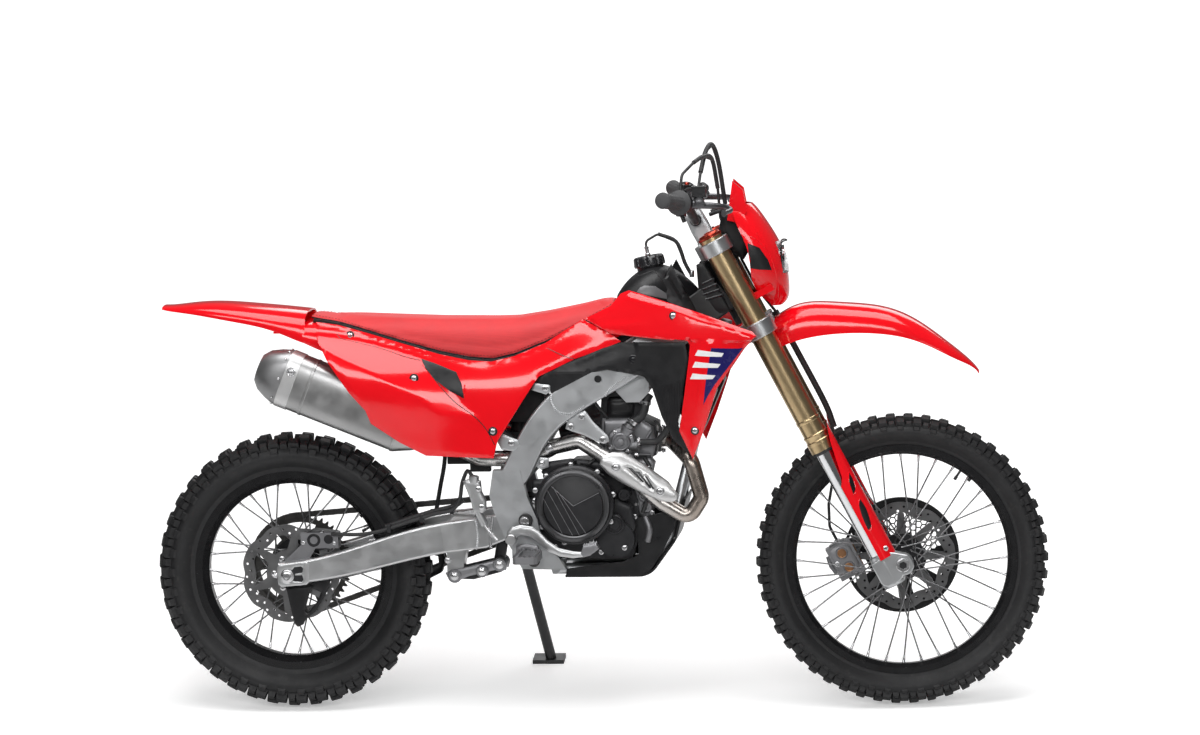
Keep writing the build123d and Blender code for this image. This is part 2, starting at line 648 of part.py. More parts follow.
def frame_parts():
    head = in_fork(bar_between((0, 0, HEAD_TUBE[0]), (0, 0, HEAD_TUBE[1]), HEAD_TUBE_RADIUS))
    plate_low, plate_high = FRAME_PLATE
    plate = side_polygon(-plate_high, -plate_low, [
        (507, 590), (497, 529), (507, 490), (527, 438), (572, 351), (679, 348), (660, 380),
        (622, 408), (612, 470), (590, 520), (572, 590),
    ])
    hanger = side_polygon(-100, -CYLINDER_HALF - SEAT_GAP, [
        (790, 792), (830, 748), (862, 748), (884, 770), (886, 800), (860, 840),
    ])
    side = spar() + plate + hanger
    frame = head + side + mirror(side, about=Plane.XZ)
    frame += across(600, 366, -plate_high + 4, plate_high - 4, 14)
    frame += across(SHOCK_CROSS[0], SHOCK_CROSS[1], -plate_high + 4, plate_high - 4, 16)
    for side in (-1, 1):
        low, high = sorted((side * SHOCK_EYE_HALF, side * (SHOCK_EYE_HALF + 8)))
        frame += block(SHOCK_TOP[0] - 12, SHOCK_CROSS[0], low + side * SEAT_GAP, high, 728, 756)
    frame += across(*SHOCK_TOP, -SHOCK_EYE_HALF - 8, SHOCK_EYE_HALF + 8, SHOCK_BOLT_RADIUS)
    frame += across(*PIVOT, -plate_high - 10, plate_high + 10, PIVOT_BOLT_RADIUS)
    frame -= in_fork(bar_between((0, 0, LOWER_CLAMP[1]), (0, 0, UPPER_CLAMP[0]), HEAD_TUBE_BORE))
    foot = Vector(*STAND_PIVOT)
    lug = block(520, 606, plate_low, STAND_PIVOT[1] - 17, 344, 392)
    pin = bar_between(foot - STAND_AXIS * 24, foot + STAND_AXIS * 12, 8)
    frame += lug + pin

    tubes = pipe([(1066, -18, 932), CRADLE_HIGH, *CRADLE_TURN, CRADLE_END], 36, CRADLE_RADIUS)
    cradle = tubes + mirror(tubes, about=Plane.XZ)
    reach = FRAME_PLATE[0] - SEAT_GAP
    cradle += across(864, 350, -72, 72, 10) + across(650, 344, -reach, reach, 10)
    grown = spar(SEAT_GAP)
    cradle -= in_fork(bar_between((0, 0, 600), (0, 0, 900), HEAD_TUBE_RADIUS + SEAT_GAP))
    cradle -= grown + mirror(grown, about=Plane.XZ)
    inner = FRAME_PLATE[0] - 3 * SEAT_GAP
    rail_way = [(706, -inner + RAIL_RADIUS, 782), (600, -84, 818), (512, -78, 828), RAIL_END]
    rails = pipe(rail_way, 60, RAIL_RADIUS)
    rails += bar_between((576, -inner + STRUT_RADIUS, 644), (262, -70, 868), STRUT_RADIUS)
    subframe = rails + mirror(rails, about=Plane.XZ)
    subframe += across(RAIL_END[0] + 4, RAIL_END[2], RAIL_END[1], -RAIL_END[1], RAIL_RADIUS)
    subframe += across(*SEAT_CROSS, -78, 78, STRUT_RADIUS)
    return {"main_frame": frame, "frame_cradle": cradle, "subframe": subframe}


def engine():
    case = side_polygon(-ENGINE_HALF, CASE_LEFT, [
        (614, 420), (640, 372), (833, 367), (856, 430), (850, 510), (826, 566), (800, 606),
        (690, 600), (640, 560), (612, 510),
    ])
    case += side_polygon(40, ENGINE_HALF, [
        (712, 420), (730, 380), (826, 378), (850, 430), (842, 510), (812, 560), (740, 560), (712, 520),
    ])
    case += across(706, 508, -150, -60, 86)
    case += across(780, 455, 60, 118, 62)
    case += across(800, 420, -118, -60, 44)
    cylinder = side_polygon(-CYLINDER_HALF, CYLINDER_HALF, [
        (756, 590), (762, 700), (768, 776), (862, 772), (862, 702), (896, 686), (896, 616), (842, 590),
    ])
    case += cylinder + bar_between((660, 0, 660), (780, 0, 690), 26)
    mount = FRAME_PLATE[0] - SEAT_GAP
    case += across(632, 390, -mount, mount, 12)
    case += across(*FRONT_SPROCKET, 50, CHAIN_Y - SPROCKET_THICK / 2, 14)
    case += across(*FRONT_SPROCKET, CHAIN_Y - SPROCKET_THICK / 2, CHAIN_Y + SPROCKET_THICK / 2,
                   FRONT_PITCH_RADIUS - CHAIN_DEPTH / 2 - 1)
    return case


def exhaust_parts():
    pipe_path = [
        (896 + SEAT_GAP, -22, 650), (926, -22, 650), (984, -110, 608), (1008, -116, 520),
        (976, -116, 470), (912, -114, 508), (812, -108, 594), (716, -88, 656), (650, -74, 640),
        (596, -71, 611), (470, -71, 613), (352, -91, 675), (300, -94, 697),
    ]
    header = pipe(pipe_path, 24, EXHAUST_RADIUS, EXHAUST_RADIUS - 2)
    axis_low, axis_high = Vector(346, -95, 678), Vector(-58, -95, 843)
    ahead = axis_high - axis_low
    plane = Plane(origin=axis_low, x_dir=(0, 1, 0), z_dir=ahead)
    length = ahead.length
    width, height = 2 * SILENCER_HALF_WIDTH, 2 * SILENCER_HALF_HEIGHT

    def station(distance, scale):
        return plane.offset(distance) * RectangleRounded(width * scale, height * scale, 40 * scale)

    silencer = loft([station(0, 0.62), station(60, 1.0)], ruled=True)
    silencer += loft([station(60, 1.0), station(length - 60, 1.0)], ruled=True)
    silencer += loft([station(length - 60, 1.0), station(length, 0.74)], ruled=True)
    silencer -= bar_between(axis_high - ahead.normalized() * 120, axis_high + ahead.normalized(), 21)
    silencer -= pipe([*pipe_path[-3:-1], (290, -94.6, 701)], 24, EXHAUST_RADIUS + SEAT_GAP)
    rail_height = RAIL_END[2] + (828 - RAIL_END[2]) * (200 - RAIL_END[0]) / (512 - RAIL_END[0])
    silencer += block(186, 210, -74, -58, 780, rail_height - RAIL_RADIUS - 3)
    return {"exhaust_pipe": header, "silencer": silencer}


def skid_plate():
    """A plate that follows the outside of the cradle's tubes."""
    corner, high = Vector(*CRADLE_TURN[0]), Vector(*CRADLE_HIGH)
    top = corner + (high - corner) * 0.48
    turns = [(x, 0, z) for x, _, z in CRADLE_TURN]
    path = FilletPolyline((top.X, 0, top.Z), *turns, (CRADLE_END[0] + 32, 0, CRADLE_END[2]),
                          radius=36)
    away = CRADLE_RADIUS + 3 * SEAT_GAP + SKID_WALL / 2
    start = Plane(origin=path @ 0, x_dir=(0, 1, 0), z_dir=path % 0)
    side = 1 if start.y_dir.X > 0 else -1
    section = start * (Pos(0, side * away) * Rectangle(2 * SKID_HALF, SKID_WALL))
    wall = side_polygon(-SKID_HALF, -SKID_HALF + 4, [
        (675, 327), (675, 346), (812, 362), (850, 378), (850, 468), (942, 486), (938, 442), (905, 380),
        (878, 340), (851, 327),
    ])
    return sweep(section, path=path) + wall + mirror(wall, about=Plane.XZ)


def radiators():
    core = side_polygon(-RADIATOR_OUTER, -88, [
        (1000, 660), (1050, 775), (1028, 846), (1002, 872), (988, 872), (990, 775), (958, 668),
    ])
    arm_end = -18.8 - CRADLE_RADIUS - SEAT_GAP
    return both_sides(core + across(1014, 754, -92, arm_end, 8) + across(1026, 822, -92, arm_end, 8))


SHROUD_OUTLINE = [
    (735, 950), (800, 916), (877, 909), (989, 902), (994, 894), (991, 861), (978, 776), (963, 687),
    (995, 621), (1023, 691), (1046, 757), (1057, 791), (1118, 878), (1153, 916), (1143, 926),
    (1071, 951), (1020, 968), (951, 989), (879, 1009), (844, 1018), (824, 1010), (799, 981),
]


SHROUD_LEVELS = [
    (600, [(700, -118), (860, -148), (1020, -194), (1180, -212)]),
    (745, [(700, -117), (860, -154), (1020, -203), (1180, -222)]),
    (890, [(700, -104), (860, -154), (1020, -208), (1180, -228)]),
    (1035, [(700, -78), (860, -124), (1020, -176), (1180, -198)]),
]
PANEL_LEVELS = [
    (600, [(40, -152), (313, -158), (587, -148), (860, -144)]),
    (672, [(40, -154), (313, -161), (587, -148), (860, -145)]),
    (744, [(40, -156), (313, -163), (587, -146), (860, -146)]),
    (816, [(40, -157), (313, -155), (587, -136), (860, -146)]),
    (888, [(40, -147), (313, -114), (587, -106), (860, -140)]),
    (960, [(40, -116), (313, -97), (587, -92), (860, -118)]),
]


def panel_with_bosses(levels, outline, bosses):
    """A curved panel cut to a side outline, with round bosses that reach in to what carries it."""
    panel = curved_slab(levels, PANEL_WALL) & side_polygon(-260, -40, outline)
    outside = curved_slab([(z, [(x, y - 110) for x, y in row]) for z, row in levels], 111)
    for x, z, y_end in bosses:
        panel += across(x, z, -235, y_end, 9) - outside
    return both_sides(panel)


def shrouds():
    reach = -RADIATOR_OUTER - SEAT_GAP
    return panel_with_bosses(SHROUD_LEVELS, SHROUD_OUTLINE, [(1006, 694, reach), (1020, 850, reach)])


INNER_OUTLINE = [
    (612, 800), (628, 819), (664, 836), (722, 860), (776, 882), (825, 897), (984, 900), (991, 858),
    (975, 771), (963, 700), (990, 624), (944, 662), (916, 719), (894, 786), (876, 812), (790, 828),
    (752, 822), (652, 770),
]
INNER_ROW = [(600, -128), (720, -129), (840, -138), (960, -171), (1080, -183)]
INNER_LEVELS = [
    (600, INNER_ROW), (683, INNER_ROW), (765, INNER_ROW),
    (848, [(600, -127), (720, -128), (840, -136), (960, -167), (1080, -182)]),
    (930, [(600, -114), (720, -118), (840, -131), (960, -166), (1080, -181)]),
]


def inner_panels():
    """Dark panels inside the shrouds, round the top of the frame and down beside the cylinder."""
    panels = panel_with_bosses(INNER_LEVELS, INNER_OUTLINE, [(766, 808, -FRAME_PLATE[1] - SEAT_GAP)])
    beyond = [(z, [(x, y - 100) for x, y in row]) for z, row in PANEL_LEVELS]
    room = spar(SEAT_GAP) + curved_slab(beyond, 100 + PANEL_WALL + 2 * SEAT_GAP)
    right = (panels - room).solids().filter_by_position(Axis.Y, -300, 0).sort_by(SortBy.VOLUME)[-1]
    return both_sides(right)


CAP_BASE = Vector(890, 0, 1036)
CAP_WAY = Vector(-0.17, 0, 0.985).normalized()


def fuel_tank_parts():
    tank = arch_solid([
        (809, 94, 915, 1003, 3.0), (850, 108, 930, 1053, 3.0), (896, 102, 956, 1068, 3.0),
        (935, 76, 978, 1062, 2.8), (985, 38, 962, 1029, 2.6), (1020, 30, 940, 968, 2.6),
    ], 30)
    neck = bar_between(CAP_BASE, CAP_BASE + CAP_WAY * 30, 32)
    cap = bar_between(CAP_BASE + CAP_WAY * (30 + SEAT_GAP), CAP_BASE + CAP_WAY * 55, 38)
    grown = spar(SEAT_GAP)
    tank -= grown + mirror(grown, about=Plane.XZ)
    foot = block(872, 900, -102, -84, 905, 985) - grown
    tank += foot + mirror(foot, about=Plane.XZ)
    return {"fuel_tank": tank + neck, "fuel_cap": cap}


def seat():
    cushion = arch_solid([
        (62, 64, 956, 969, 2.6), (140, 80, 944, 961, 2.8), (294, 90, 897, 954, 3.2),
        (385, 92, 871, 950, 3.4), (457, 92, 856, 949, 3.4), (512, 91, 852, 948, 3.4),
        (567, 88, 864, 949, 3.3), (640, 82, 892, 960, 3.0), (723, 72, 932, 976, 2.8),
        (803, 56, 974, 995, 2.6),
    ])
    cross_x, cross_z = SEAT_CROSS
    cushion += block(cross_x - 8, cross_x + 8, -30, 30, cross_z + STRUT_RADIUS + SEAT_GAP, 870)
    cushion += block(82, 92, -30, 30, 947.7, 956)
    return cushion


def side_panels():
    outline = [
        (88, 948), (88, 917), (121, 856), (173, 783), (209, 742), (221, 710), (288, 664), (351, 631),
        (514, 623), (524, 664), (611, 797), (625, 816), (651, 828), (711, 856), (772, 876), (824, 897),
        (798, 913), (730, 946), (640, 890), (567, 861), (512, 849), (457, 853), (385, 868), (294, 894),
        (140, 940),
    ]
    return panel_with_bosses(PANEL_LEVELS, outline, [(514, 688, -92.6), (330, 820, -82.2)])


TONGUE_LOW = RAIL_END[2] + RAIL_RADIUS + SEAT_GAP


def rear_fender():
    shell = arch_shell([
        (-302, 42, 980, 988, 2.4), (-223, 66, 969, 993, 2.6), (-162, 79, 960, 996, 2.8),
        (-47, 93, 938, 985, 3.0), (15, 100, 917, 978, 3.2), (57, 104, 900, 973, 3.2),
    ], PANEL_WALL)
    shell += arch_shell([
        (52, 104, 902, 948, 4.0), (90, 104, 884, 947, 4.0), (136, 103, 864, 940, 4.0),
    ], PANEL_WALL)
    high = TONGUE_LOW + PANEL_WALL
    return shell + block(-20, 112, -49, 49, TONGUE_LOW, high) + block(-20, 40, -95, 95, TONGUE_LOW, high)


def airbox():
    box = side_polygon(-58, 58, [(374, 706), (440, 674), (506, 670), (506, 812), (374, 812)])
    cross_x, cross_z = SEAT_CROSS
    cheek = block(500, 626, -66, -42, 700, 806)
    box += cheek + mirror(cheek, about=Plane.XZ)
    return box + block(cross_x - 10, cross_x + 10, -20, 20, 790, cross_z - STRUT_RADIUS - SEAT_GAP)


def swingarm():
    middle = SWINGARM_INNER + SWINGARM_WALL / 2
    arm = beam([
        (REAR_AXLE_X - 18, -middle, 343, 52, SWINGARM_WALL, 10),
        (REAR_AXLE_X + 60, -middle, 350, 56, SWINGARM_WALL, 12),
        (220 + REAR_AXLE_X / 2, -middle, 388, 68, SWINGARM_WALL, 12),
        (380, -middle, 426, 74, SWINGARM_WALL, 6),
    ])
    arm += loft([*beam_faces([
        (380, -middle, 426, 74, SWINGARM_WALL, 6), (480, -84, 436, 76, 22, 4), (560, -80, 458, 56, 22, 12),
    ])], ruled=True)
    arm += across(*PIVOT, -FRAME_PLATE[0] + SEAT_GAP, -60, 26)
    shape = arm + mirror(arm, about=Plane.XZ) + across(*PIVOT, -70, 70, 21)
    shape += side_polygon(-100, 100, [(372, 400), (372, 448), (392, 462), (440, 460), (440, 404), (420, 396)])
    shape += side_polygon(-24, 24, [(376, 410), (376, 318), (392, 306), (412, 318), (430, 410)])
    shape -= side_polygon(-16, 16, [(350, 345), (350, 290), (470, 290), (470, 345)])
    shape -= across(*PIVOT, -130, 130, PIVOT_BOLT_RADIUS + SEAT_GAP)
    shape -= across(REAR_AXLE_X, REAR_RADIUS, -130, 130, REAR_AXLE_RADIUS + SEAT_GAP)
    return shape - chain(CHAIN_GAP)


def rear_axle():
    arm_outer = SWINGARM_INNER + SWINGARM_WALL
    shape = across(REAR_AXLE_X, REAR_RADIUS, -arm_outer - 9, arm_outer + 9, REAR_AXLE_RADIUS)
    shape += across(REAR_AXLE_X, REAR_RADIUS, arm_outer + SEAT_GAP, arm_outer + 9, 20)
    shape += across(REAR_AXLE_X, REAR_RADIUS, -arm_outer - 9, -arm_outer - SEAT_GAP, 20)
    shape += across(REAR_AXLE_X, REAR_RADIUS, CHAIN_Y + 6.5, SWINGARM_INNER - SEAT_GAP, 18)
    return shape


def rear_shock():
    """The shock, its spring, and the link that joins its foot to the swingarm's ears."""
    low, high = Vector(SHOCK_FOOT[0], 0, SHOCK_FOOT[1]), Vector(SHOCK_TOP[0], 0, SHOCK_TOP[1])
    way = (high - low).normalized()
    length = (high - low).length
    shape = bar_between(low, high, 9)
    shape += bar_between(low + way * 140, low + way * 330, SPRING_RADIUS)
    shape += bar_between(low, low + way * 56, 14)
    shape += bar_between(low + way * 328, low + way * (length - 26), 22)
    shape += across(*SHOCK_TOP, -SHOCK_EYE_HALF, SHOCK_EYE_HALF, 15)
    shape -= across(*SHOCK_TOP, -40, 40, SHOCK_BOLT_RADIUS + SEAT_GAP)
    link = side_polygon(-15.5, 15.5, [(386, 312), (386, 328), (430, 338), (508, 362), (518, 345), (508, 328),
                                      (440, 310)])
    return shape + link


def chain(grow=0.0):
    """The chain's loop round both sprockets, or with grow, the room it needs."""
    def hull(reach):
        rear = Pos(REAR_AXLE_X, REAR_RADIUS) * Circle(REAR_PITCH_RADIUS + reach)
        front = Pos(*FRONT_SPROCKET) * Circle(FRONT_PITCH_RADIUS + reach)
        return Plane.XZ * make_hull([*rear.edges(), *front.edges()])

    half = CHAIN_DEPTH / 2 + grow
    loop = extrude(hull(half), amount=CHAIN_WIDTH / 2 + grow, both=True)
    loop -= extrude(hull(-half), amount=2 * CHAIN_WIDTH, both=True)
    return Pos(0, CHAIN_Y, 0) * loop


def rear_caliper():
    outer = -SWINGARM_INNER + SEAT_GAP
    body = block(30, 122, outer, -54, 400, 438)
    body += side_polygon(outer, -82, [(-20, 337), (-10, 372), (30, 408), (70, 408), (24, 330)])
    body += across(0, REAR_RADIUS, outer, -80, 24)
    body -= across(0, REAR_RADIUS, REAR_DISC_Y - 7, REAR_DISC_Y + 7, REAR_DISC_RADIUS + MOVING_GAP)
    body -= across(0, REAR_RADIUS, -100, -50, REAR_AXLE_RADIUS + SEAT_GAP)
    return Pos(REAR_AXLE_X, 0, 0) * body


def rear_disc_guard():
    guard = side_polygon(-SWINGARM_INNER + SEAT_GAP, -83, [
        (-9, 306), (-9, 297), (10, 214), (35, 223), (84, 284), (97, 309), (100, 346), (56, 346), (52, 306),
    ])
    return Pos(REAR_AXLE_X, 0, 0) * guard


def foot_controls():
    pieces = []
    for side in (-1, 1):
        inner = side * (FRAME_PLATE[1] + SEAT_GAP)
        peg = bar_between((596, inner, 392), (596, side * 150, 392), 13)
        low, high = sorted((side * 148, side * 262))
        peg += block(570, 622, low, high, PEG_TOP - 20, PEG_TOP)
        pieces.extend(solids_of(peg))
    brake = across(556, 428, -150, -FRAME_PLATE[1] - SEAT_GAP, 11)
    lever = [(556, -144, 428), (600, -152, 446), (648, -160, 402), (700, -166, 384), (752, -166, 398)]
    brake += pipe(lever, 16, 6)
    brake += block(730, 768, -190, -160, 392, 402)
    shift = bar_between((690, CASE_LEFT + SEAT_GAP, 405), (690, 150, 405), 8)
    shift += bar_between((690, 146, 405), (800, 158, 395), 6) + across(800, 395, 150, 190, 9)
    return Compound(children=[*pieces, *solids_of(brake), *solids_of(shift)])


def breather_hose():
    return pipe([
        tuple(CAP_BASE + CAP_WAY * 55.5), tuple(CAP_BASE + CAP_WAY * 90), (905, 6, 1142),
        (948, 12, 1122), (968, 14, 1070), (984, 14, 1040),
    ], 14, 3)


# ---------------------------------------------------------------- side stand, in the leaned frame
def profile_low(curve, axle, axis):
    """The height of a leaned tyre's lowest point, from its crown curve, axle and axle direction."""
    crown = Spline(*curve)
    flat = math.sqrt(1 - axis.Z ** 2)
    points = [crown @ (step / 400) for step in range(401)]
    return min(axle.Z + p.Y * axis.Z - p.X * flat for p in points)


def leaned(vector):
    return Vector(*lean_point(vector.X, vector.Y, vector.Z))


STAND_DOWN = Vector(*unlean_point(STAND_FOOT_AHEAD, STAND_FOOT_ACROSS, 20.0)) - Vector(*STAND_PIVOT)
STAND_AXIS = STAND_DOWN.cross(Vector(*STAND_FOLDED)).normalized()
STAND_RANGE = round(STAND_DOWN.get_angle(Vector(*STAND_FOLDED)) - 2)
STEERED_AXLE = Vector(0, 1, 0).rotate(Axis((0, 0, 0), Vector(*STEER_UP)), STEER_REST)
REAR_CROWN = tyre_curve(REAR_RADIUS, REAR_TYRE_HALF, REAR_FLANGE_RADIUS, REAR_BEAD_HALF, 0)
REAR_LOW = profile_low(REAR_CROWN, leaned(Vector(0, 0, REAR_RADIUS)), leaned(Vector(0, 1, 0)))
STEERED_AHEAD = Vector(*STEER_AHEAD).rotate(Axis((0, 0, 0), Vector(*STEER_UP)), STEER_REST)
FRONT_AXLE_CENTRE = STEER_FOOT + STEERED_AHEAD * FRONT_AXLE_OFFSET
FRONT_CROWN = tyre_curve(FRONT_RADIUS, FRONT_TYRE_HALF, FRONT_FLANGE_RADIUS, FRONT_BEAD_HALF, 0)
FRONT_LOW = profile_low(FRONT_CROWN, leaned(FRONT_AXLE_CENTRE), leaned(STEERED_AXLE))
PITCH = math.degrees(math.atan2(FRONT_LOW - REAR_LOW, WHEELBASE))
GROUND = Pos(REAR_AXLE_X, 0, -REAR_LOW) * Rot(0, PITCH, 0) * Pos(-REAR_AXLE_X, 0, 0) * Rot(-LEAN, 0, 0)


def side_stand():
    pivot = Vector(*STAND_PIVOT)
    eye = bar_between(pivot - STAND_AXIS * 9, pivot + STAND_AXIS * 9, 17)
    toe = (GROUND.inverse() * Pos(STAND_FOOT_AHEAD, STAND_FOOT_ACROSS, 8)).position
    shape = eye + bar_between(pivot, toe, 13)
    foot = Pos(STAND_FOOT_AHEAD - 6, STAND_FOOT_ACROSS + 6, 5) * Box(78, 52, 10)
    shape = (GROUND * shape) + foot
    shape -= Pos(STAND_FOOT_AHEAD, STAND_FOOT_ACROSS, -50) * Box(400, 400, 100)
    shape = GROUND.inverse() * shape
    return shape - bar_between(pivot - STAND_AXIS * 40, pivot + STAND_AXIS * 40, 8 + RUNNING_GAP)


# ---------------------------------------------------------------- the whole machine
def upright_parts():
    parts = {name: Pos(REAR_AXLE_X, 0, REAR_RADIUS) * shape for name, shape in rear_wheel().items()}
    steered = {name: Pos(FRONT_AXLE_X, 0, FRONT_RADIUS) * shape for name, shape in front_wheel().items()}
    steered.update(fork_parts())
    parts.update({name: shape.rotate(STEER_AXIS, STEER_REST) for name, shape in steered.items()})
    parts.update(frame_parts())
    parts.update(exhaust_parts())
    parts.update(fuel_tank_parts())
    parts.update({
        "side_stand": side_stand(), "engine": engine(), "skid_plate": skid_plate(),
        "radiators": radiators(), "shrouds": shrouds(), "seat_cushion": seat(),
        "side_panels": side_panels(), "inner_panels": inner_panels(),
        "rear_fender": rear_fender(), "airbox": airbox(),
        "swingarm": swingarm(), "rear_axle": rear_axle(), "rear_shock": rear_shock(),
        "chain": chain(), "rear_caliper": rear_caliper(), "rear_disc_guard": rear_disc_guard(),
        "foot_controls": foot_controls(), "breather_hose": breather_hose(),
    })
    return parts


def placed_parts():
    """Every part where the parked machine has it, and the move that took it there."""
    parts = {name: GROUND * shape for name, shape in upright_parts().items()}
    boxes = [shape.bounding_box() for shape in parts.values()]
    middle_x = (min(b.min.X for b in boxes) + max(b.max.X for b in boxes)) / 2
    middle_y = (min(b.min.Y for b in boxes) + max(b.max.Y for b in boxes)) / 2
    centre = Pos(-middle_x, -middle_y, 0)
    return {name: centre * shape for name, shape in parts.items()}, centre * GROUND


def main():
    parts, _ = placed_parts()
    os.makedirs("parts", exist_ok=True)
    for name, shape in parts.items():
        export_step(shape, f"parts/{name}.step")


if __name__ == "__main__":
    main()
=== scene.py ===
import functools
import json
import math
import random

import bmesh
import bpy
import numpy as np
from mathutils import Matrix, Vector
from mathutils.bvhtree import BVHTree
from mathutils.geometry import delaunay_2d_cdt, tessellate_polygon


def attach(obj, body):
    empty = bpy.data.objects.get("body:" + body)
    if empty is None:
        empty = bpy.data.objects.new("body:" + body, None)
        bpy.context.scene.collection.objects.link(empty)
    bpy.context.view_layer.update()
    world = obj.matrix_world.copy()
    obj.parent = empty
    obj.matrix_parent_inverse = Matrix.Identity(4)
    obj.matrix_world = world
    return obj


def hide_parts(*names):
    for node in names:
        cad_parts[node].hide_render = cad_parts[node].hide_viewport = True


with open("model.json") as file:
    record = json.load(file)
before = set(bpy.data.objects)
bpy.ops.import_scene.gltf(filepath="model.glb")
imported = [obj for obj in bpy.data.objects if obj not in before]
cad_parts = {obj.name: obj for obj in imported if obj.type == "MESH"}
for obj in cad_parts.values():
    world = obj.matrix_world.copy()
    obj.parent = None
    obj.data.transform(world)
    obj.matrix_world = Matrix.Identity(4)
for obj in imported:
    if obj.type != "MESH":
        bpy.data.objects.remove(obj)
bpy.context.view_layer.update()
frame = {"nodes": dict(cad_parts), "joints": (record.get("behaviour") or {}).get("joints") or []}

JOINTS = {joint["name"]: joint for joint in frame["joints"]}
random.seed(7)

# ------------------------------------------------ the upright machine's frame, in millimetres
# x forward from the rear axle, y to the rider's left, z up from the ground
WHEELBASE, FRONT_RADIUS, REAR_RADIUS = 1477.0, 351.0, 337.0
RAKE = math.radians(27)
STEER_REST = math.radians(4)
AHEAD = Vector((math.cos(RAKE), 0, math.sin(RAKE)))
UP = Vector((-math.sin(RAKE), 0, math.cos(RAKE)))
AXLE_AHEAD = 58.0  # the front axle ahead of the steering axis
LEG_AHEAD, LEG_OUT = 20, 107  # the fork's legs in the fork's own frame
FOOT = Vector((WHEELBASE, 0, FRONT_RADIUS)) - AHEAD * AXLE_AHEAD


def find_place():
    """The move from the upright machine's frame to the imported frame, from two of its joints."""
    rear, steering = JOINTS["rear_wheel_spin"], JOINTS["steering"]
    origin, left = Vector(rear["pos_m"]), Vector(rear["axis"]).normalized()
    to_foot = (Vector(steering["pos_m"]) - origin).normalized()
    tilt = math.atan2(FOOT.z - REAR_RADIUS, FOOT.x)
    forward = Matrix.Rotation(tilt, 3, left) @ to_foot
    up = forward.cross(left)
    place = Matrix((forward, left, up)).transposed().to_4x4()
    place.translation = origin - up * REAR_RADIUS / 1000
    return place


PLACE = find_place()
PLACE_MM = PLACE @ Matrix.Scale(0.001, 4)
OUT = (0, -1, 0)  # towards the rider's right, the side that the photo shows
STEER = Matrix.Translation(FOOT) @ Matrix.Rotation(STEER_REST, 4, UP) @ Matrix.Translation(-FOOT)
FORK = Matrix((AHEAD, (0, 1, 0), UP)).transposed().to_4x4()
FORK.translation = FOOT
LEG = {side: FORK @ Matrix.Translation((LEG_AHEAD, LEG_OUT * side, 0)) for side in (-1, 1)}
FRONT_AXLE = Matrix.Translation((WHEELBASE, 0, FRONT_RADIUS))
REAR_CENTRE = (0, 0, REAR_RADIUS)
REAR_AXLE = Matrix.Translation(REAR_CENTRE)

# ------------------------------------------------ camera
YAW, ELEVATION, ROLL = math.radians(6.343), math.radians(6.205), math.radians(-1.386)
TARGET, DISTANCE = Vector((758.05, 0, 821.65)), 10789.3
SENSOR, FOCAL = 36, 134.3
NEAREST, FARTHEST = 0.1, 100
level_reach = math.cos(ELEVATION)
look = Vector((-math.sin(YAW) * level_reach, math.cos(YAW) * level_reach, -math.sin(ELEVATION)))
right = Vector((math.cos(YAW), math.sin(YAW), 0))
over = right.cross(look)
turned = right * math.cos(ROLL) + over * math.sin(ROLL)
over = over * math.cos(ROLL) - right * math.sin(ROLL)
stand_at = Matrix((turned, over, -look)).transposed().to_4x4()
stand_at.translation = (TARGET - look * DISTANCE) / 1000
camera = bpy.data.objects.new("camera", bpy.data.cameras.new("camera"))
bpy.context.scene.collection.objects.link(camera)
camera.matrix_world = PLACE @ stand_at
camera.data.sensor_width, camera.data.lens = SENSOR, FOCAL
camera.data.clip_start, camera.data.clip_end = NEAREST, FARTHEST
bpy.context.scene.camera = camera

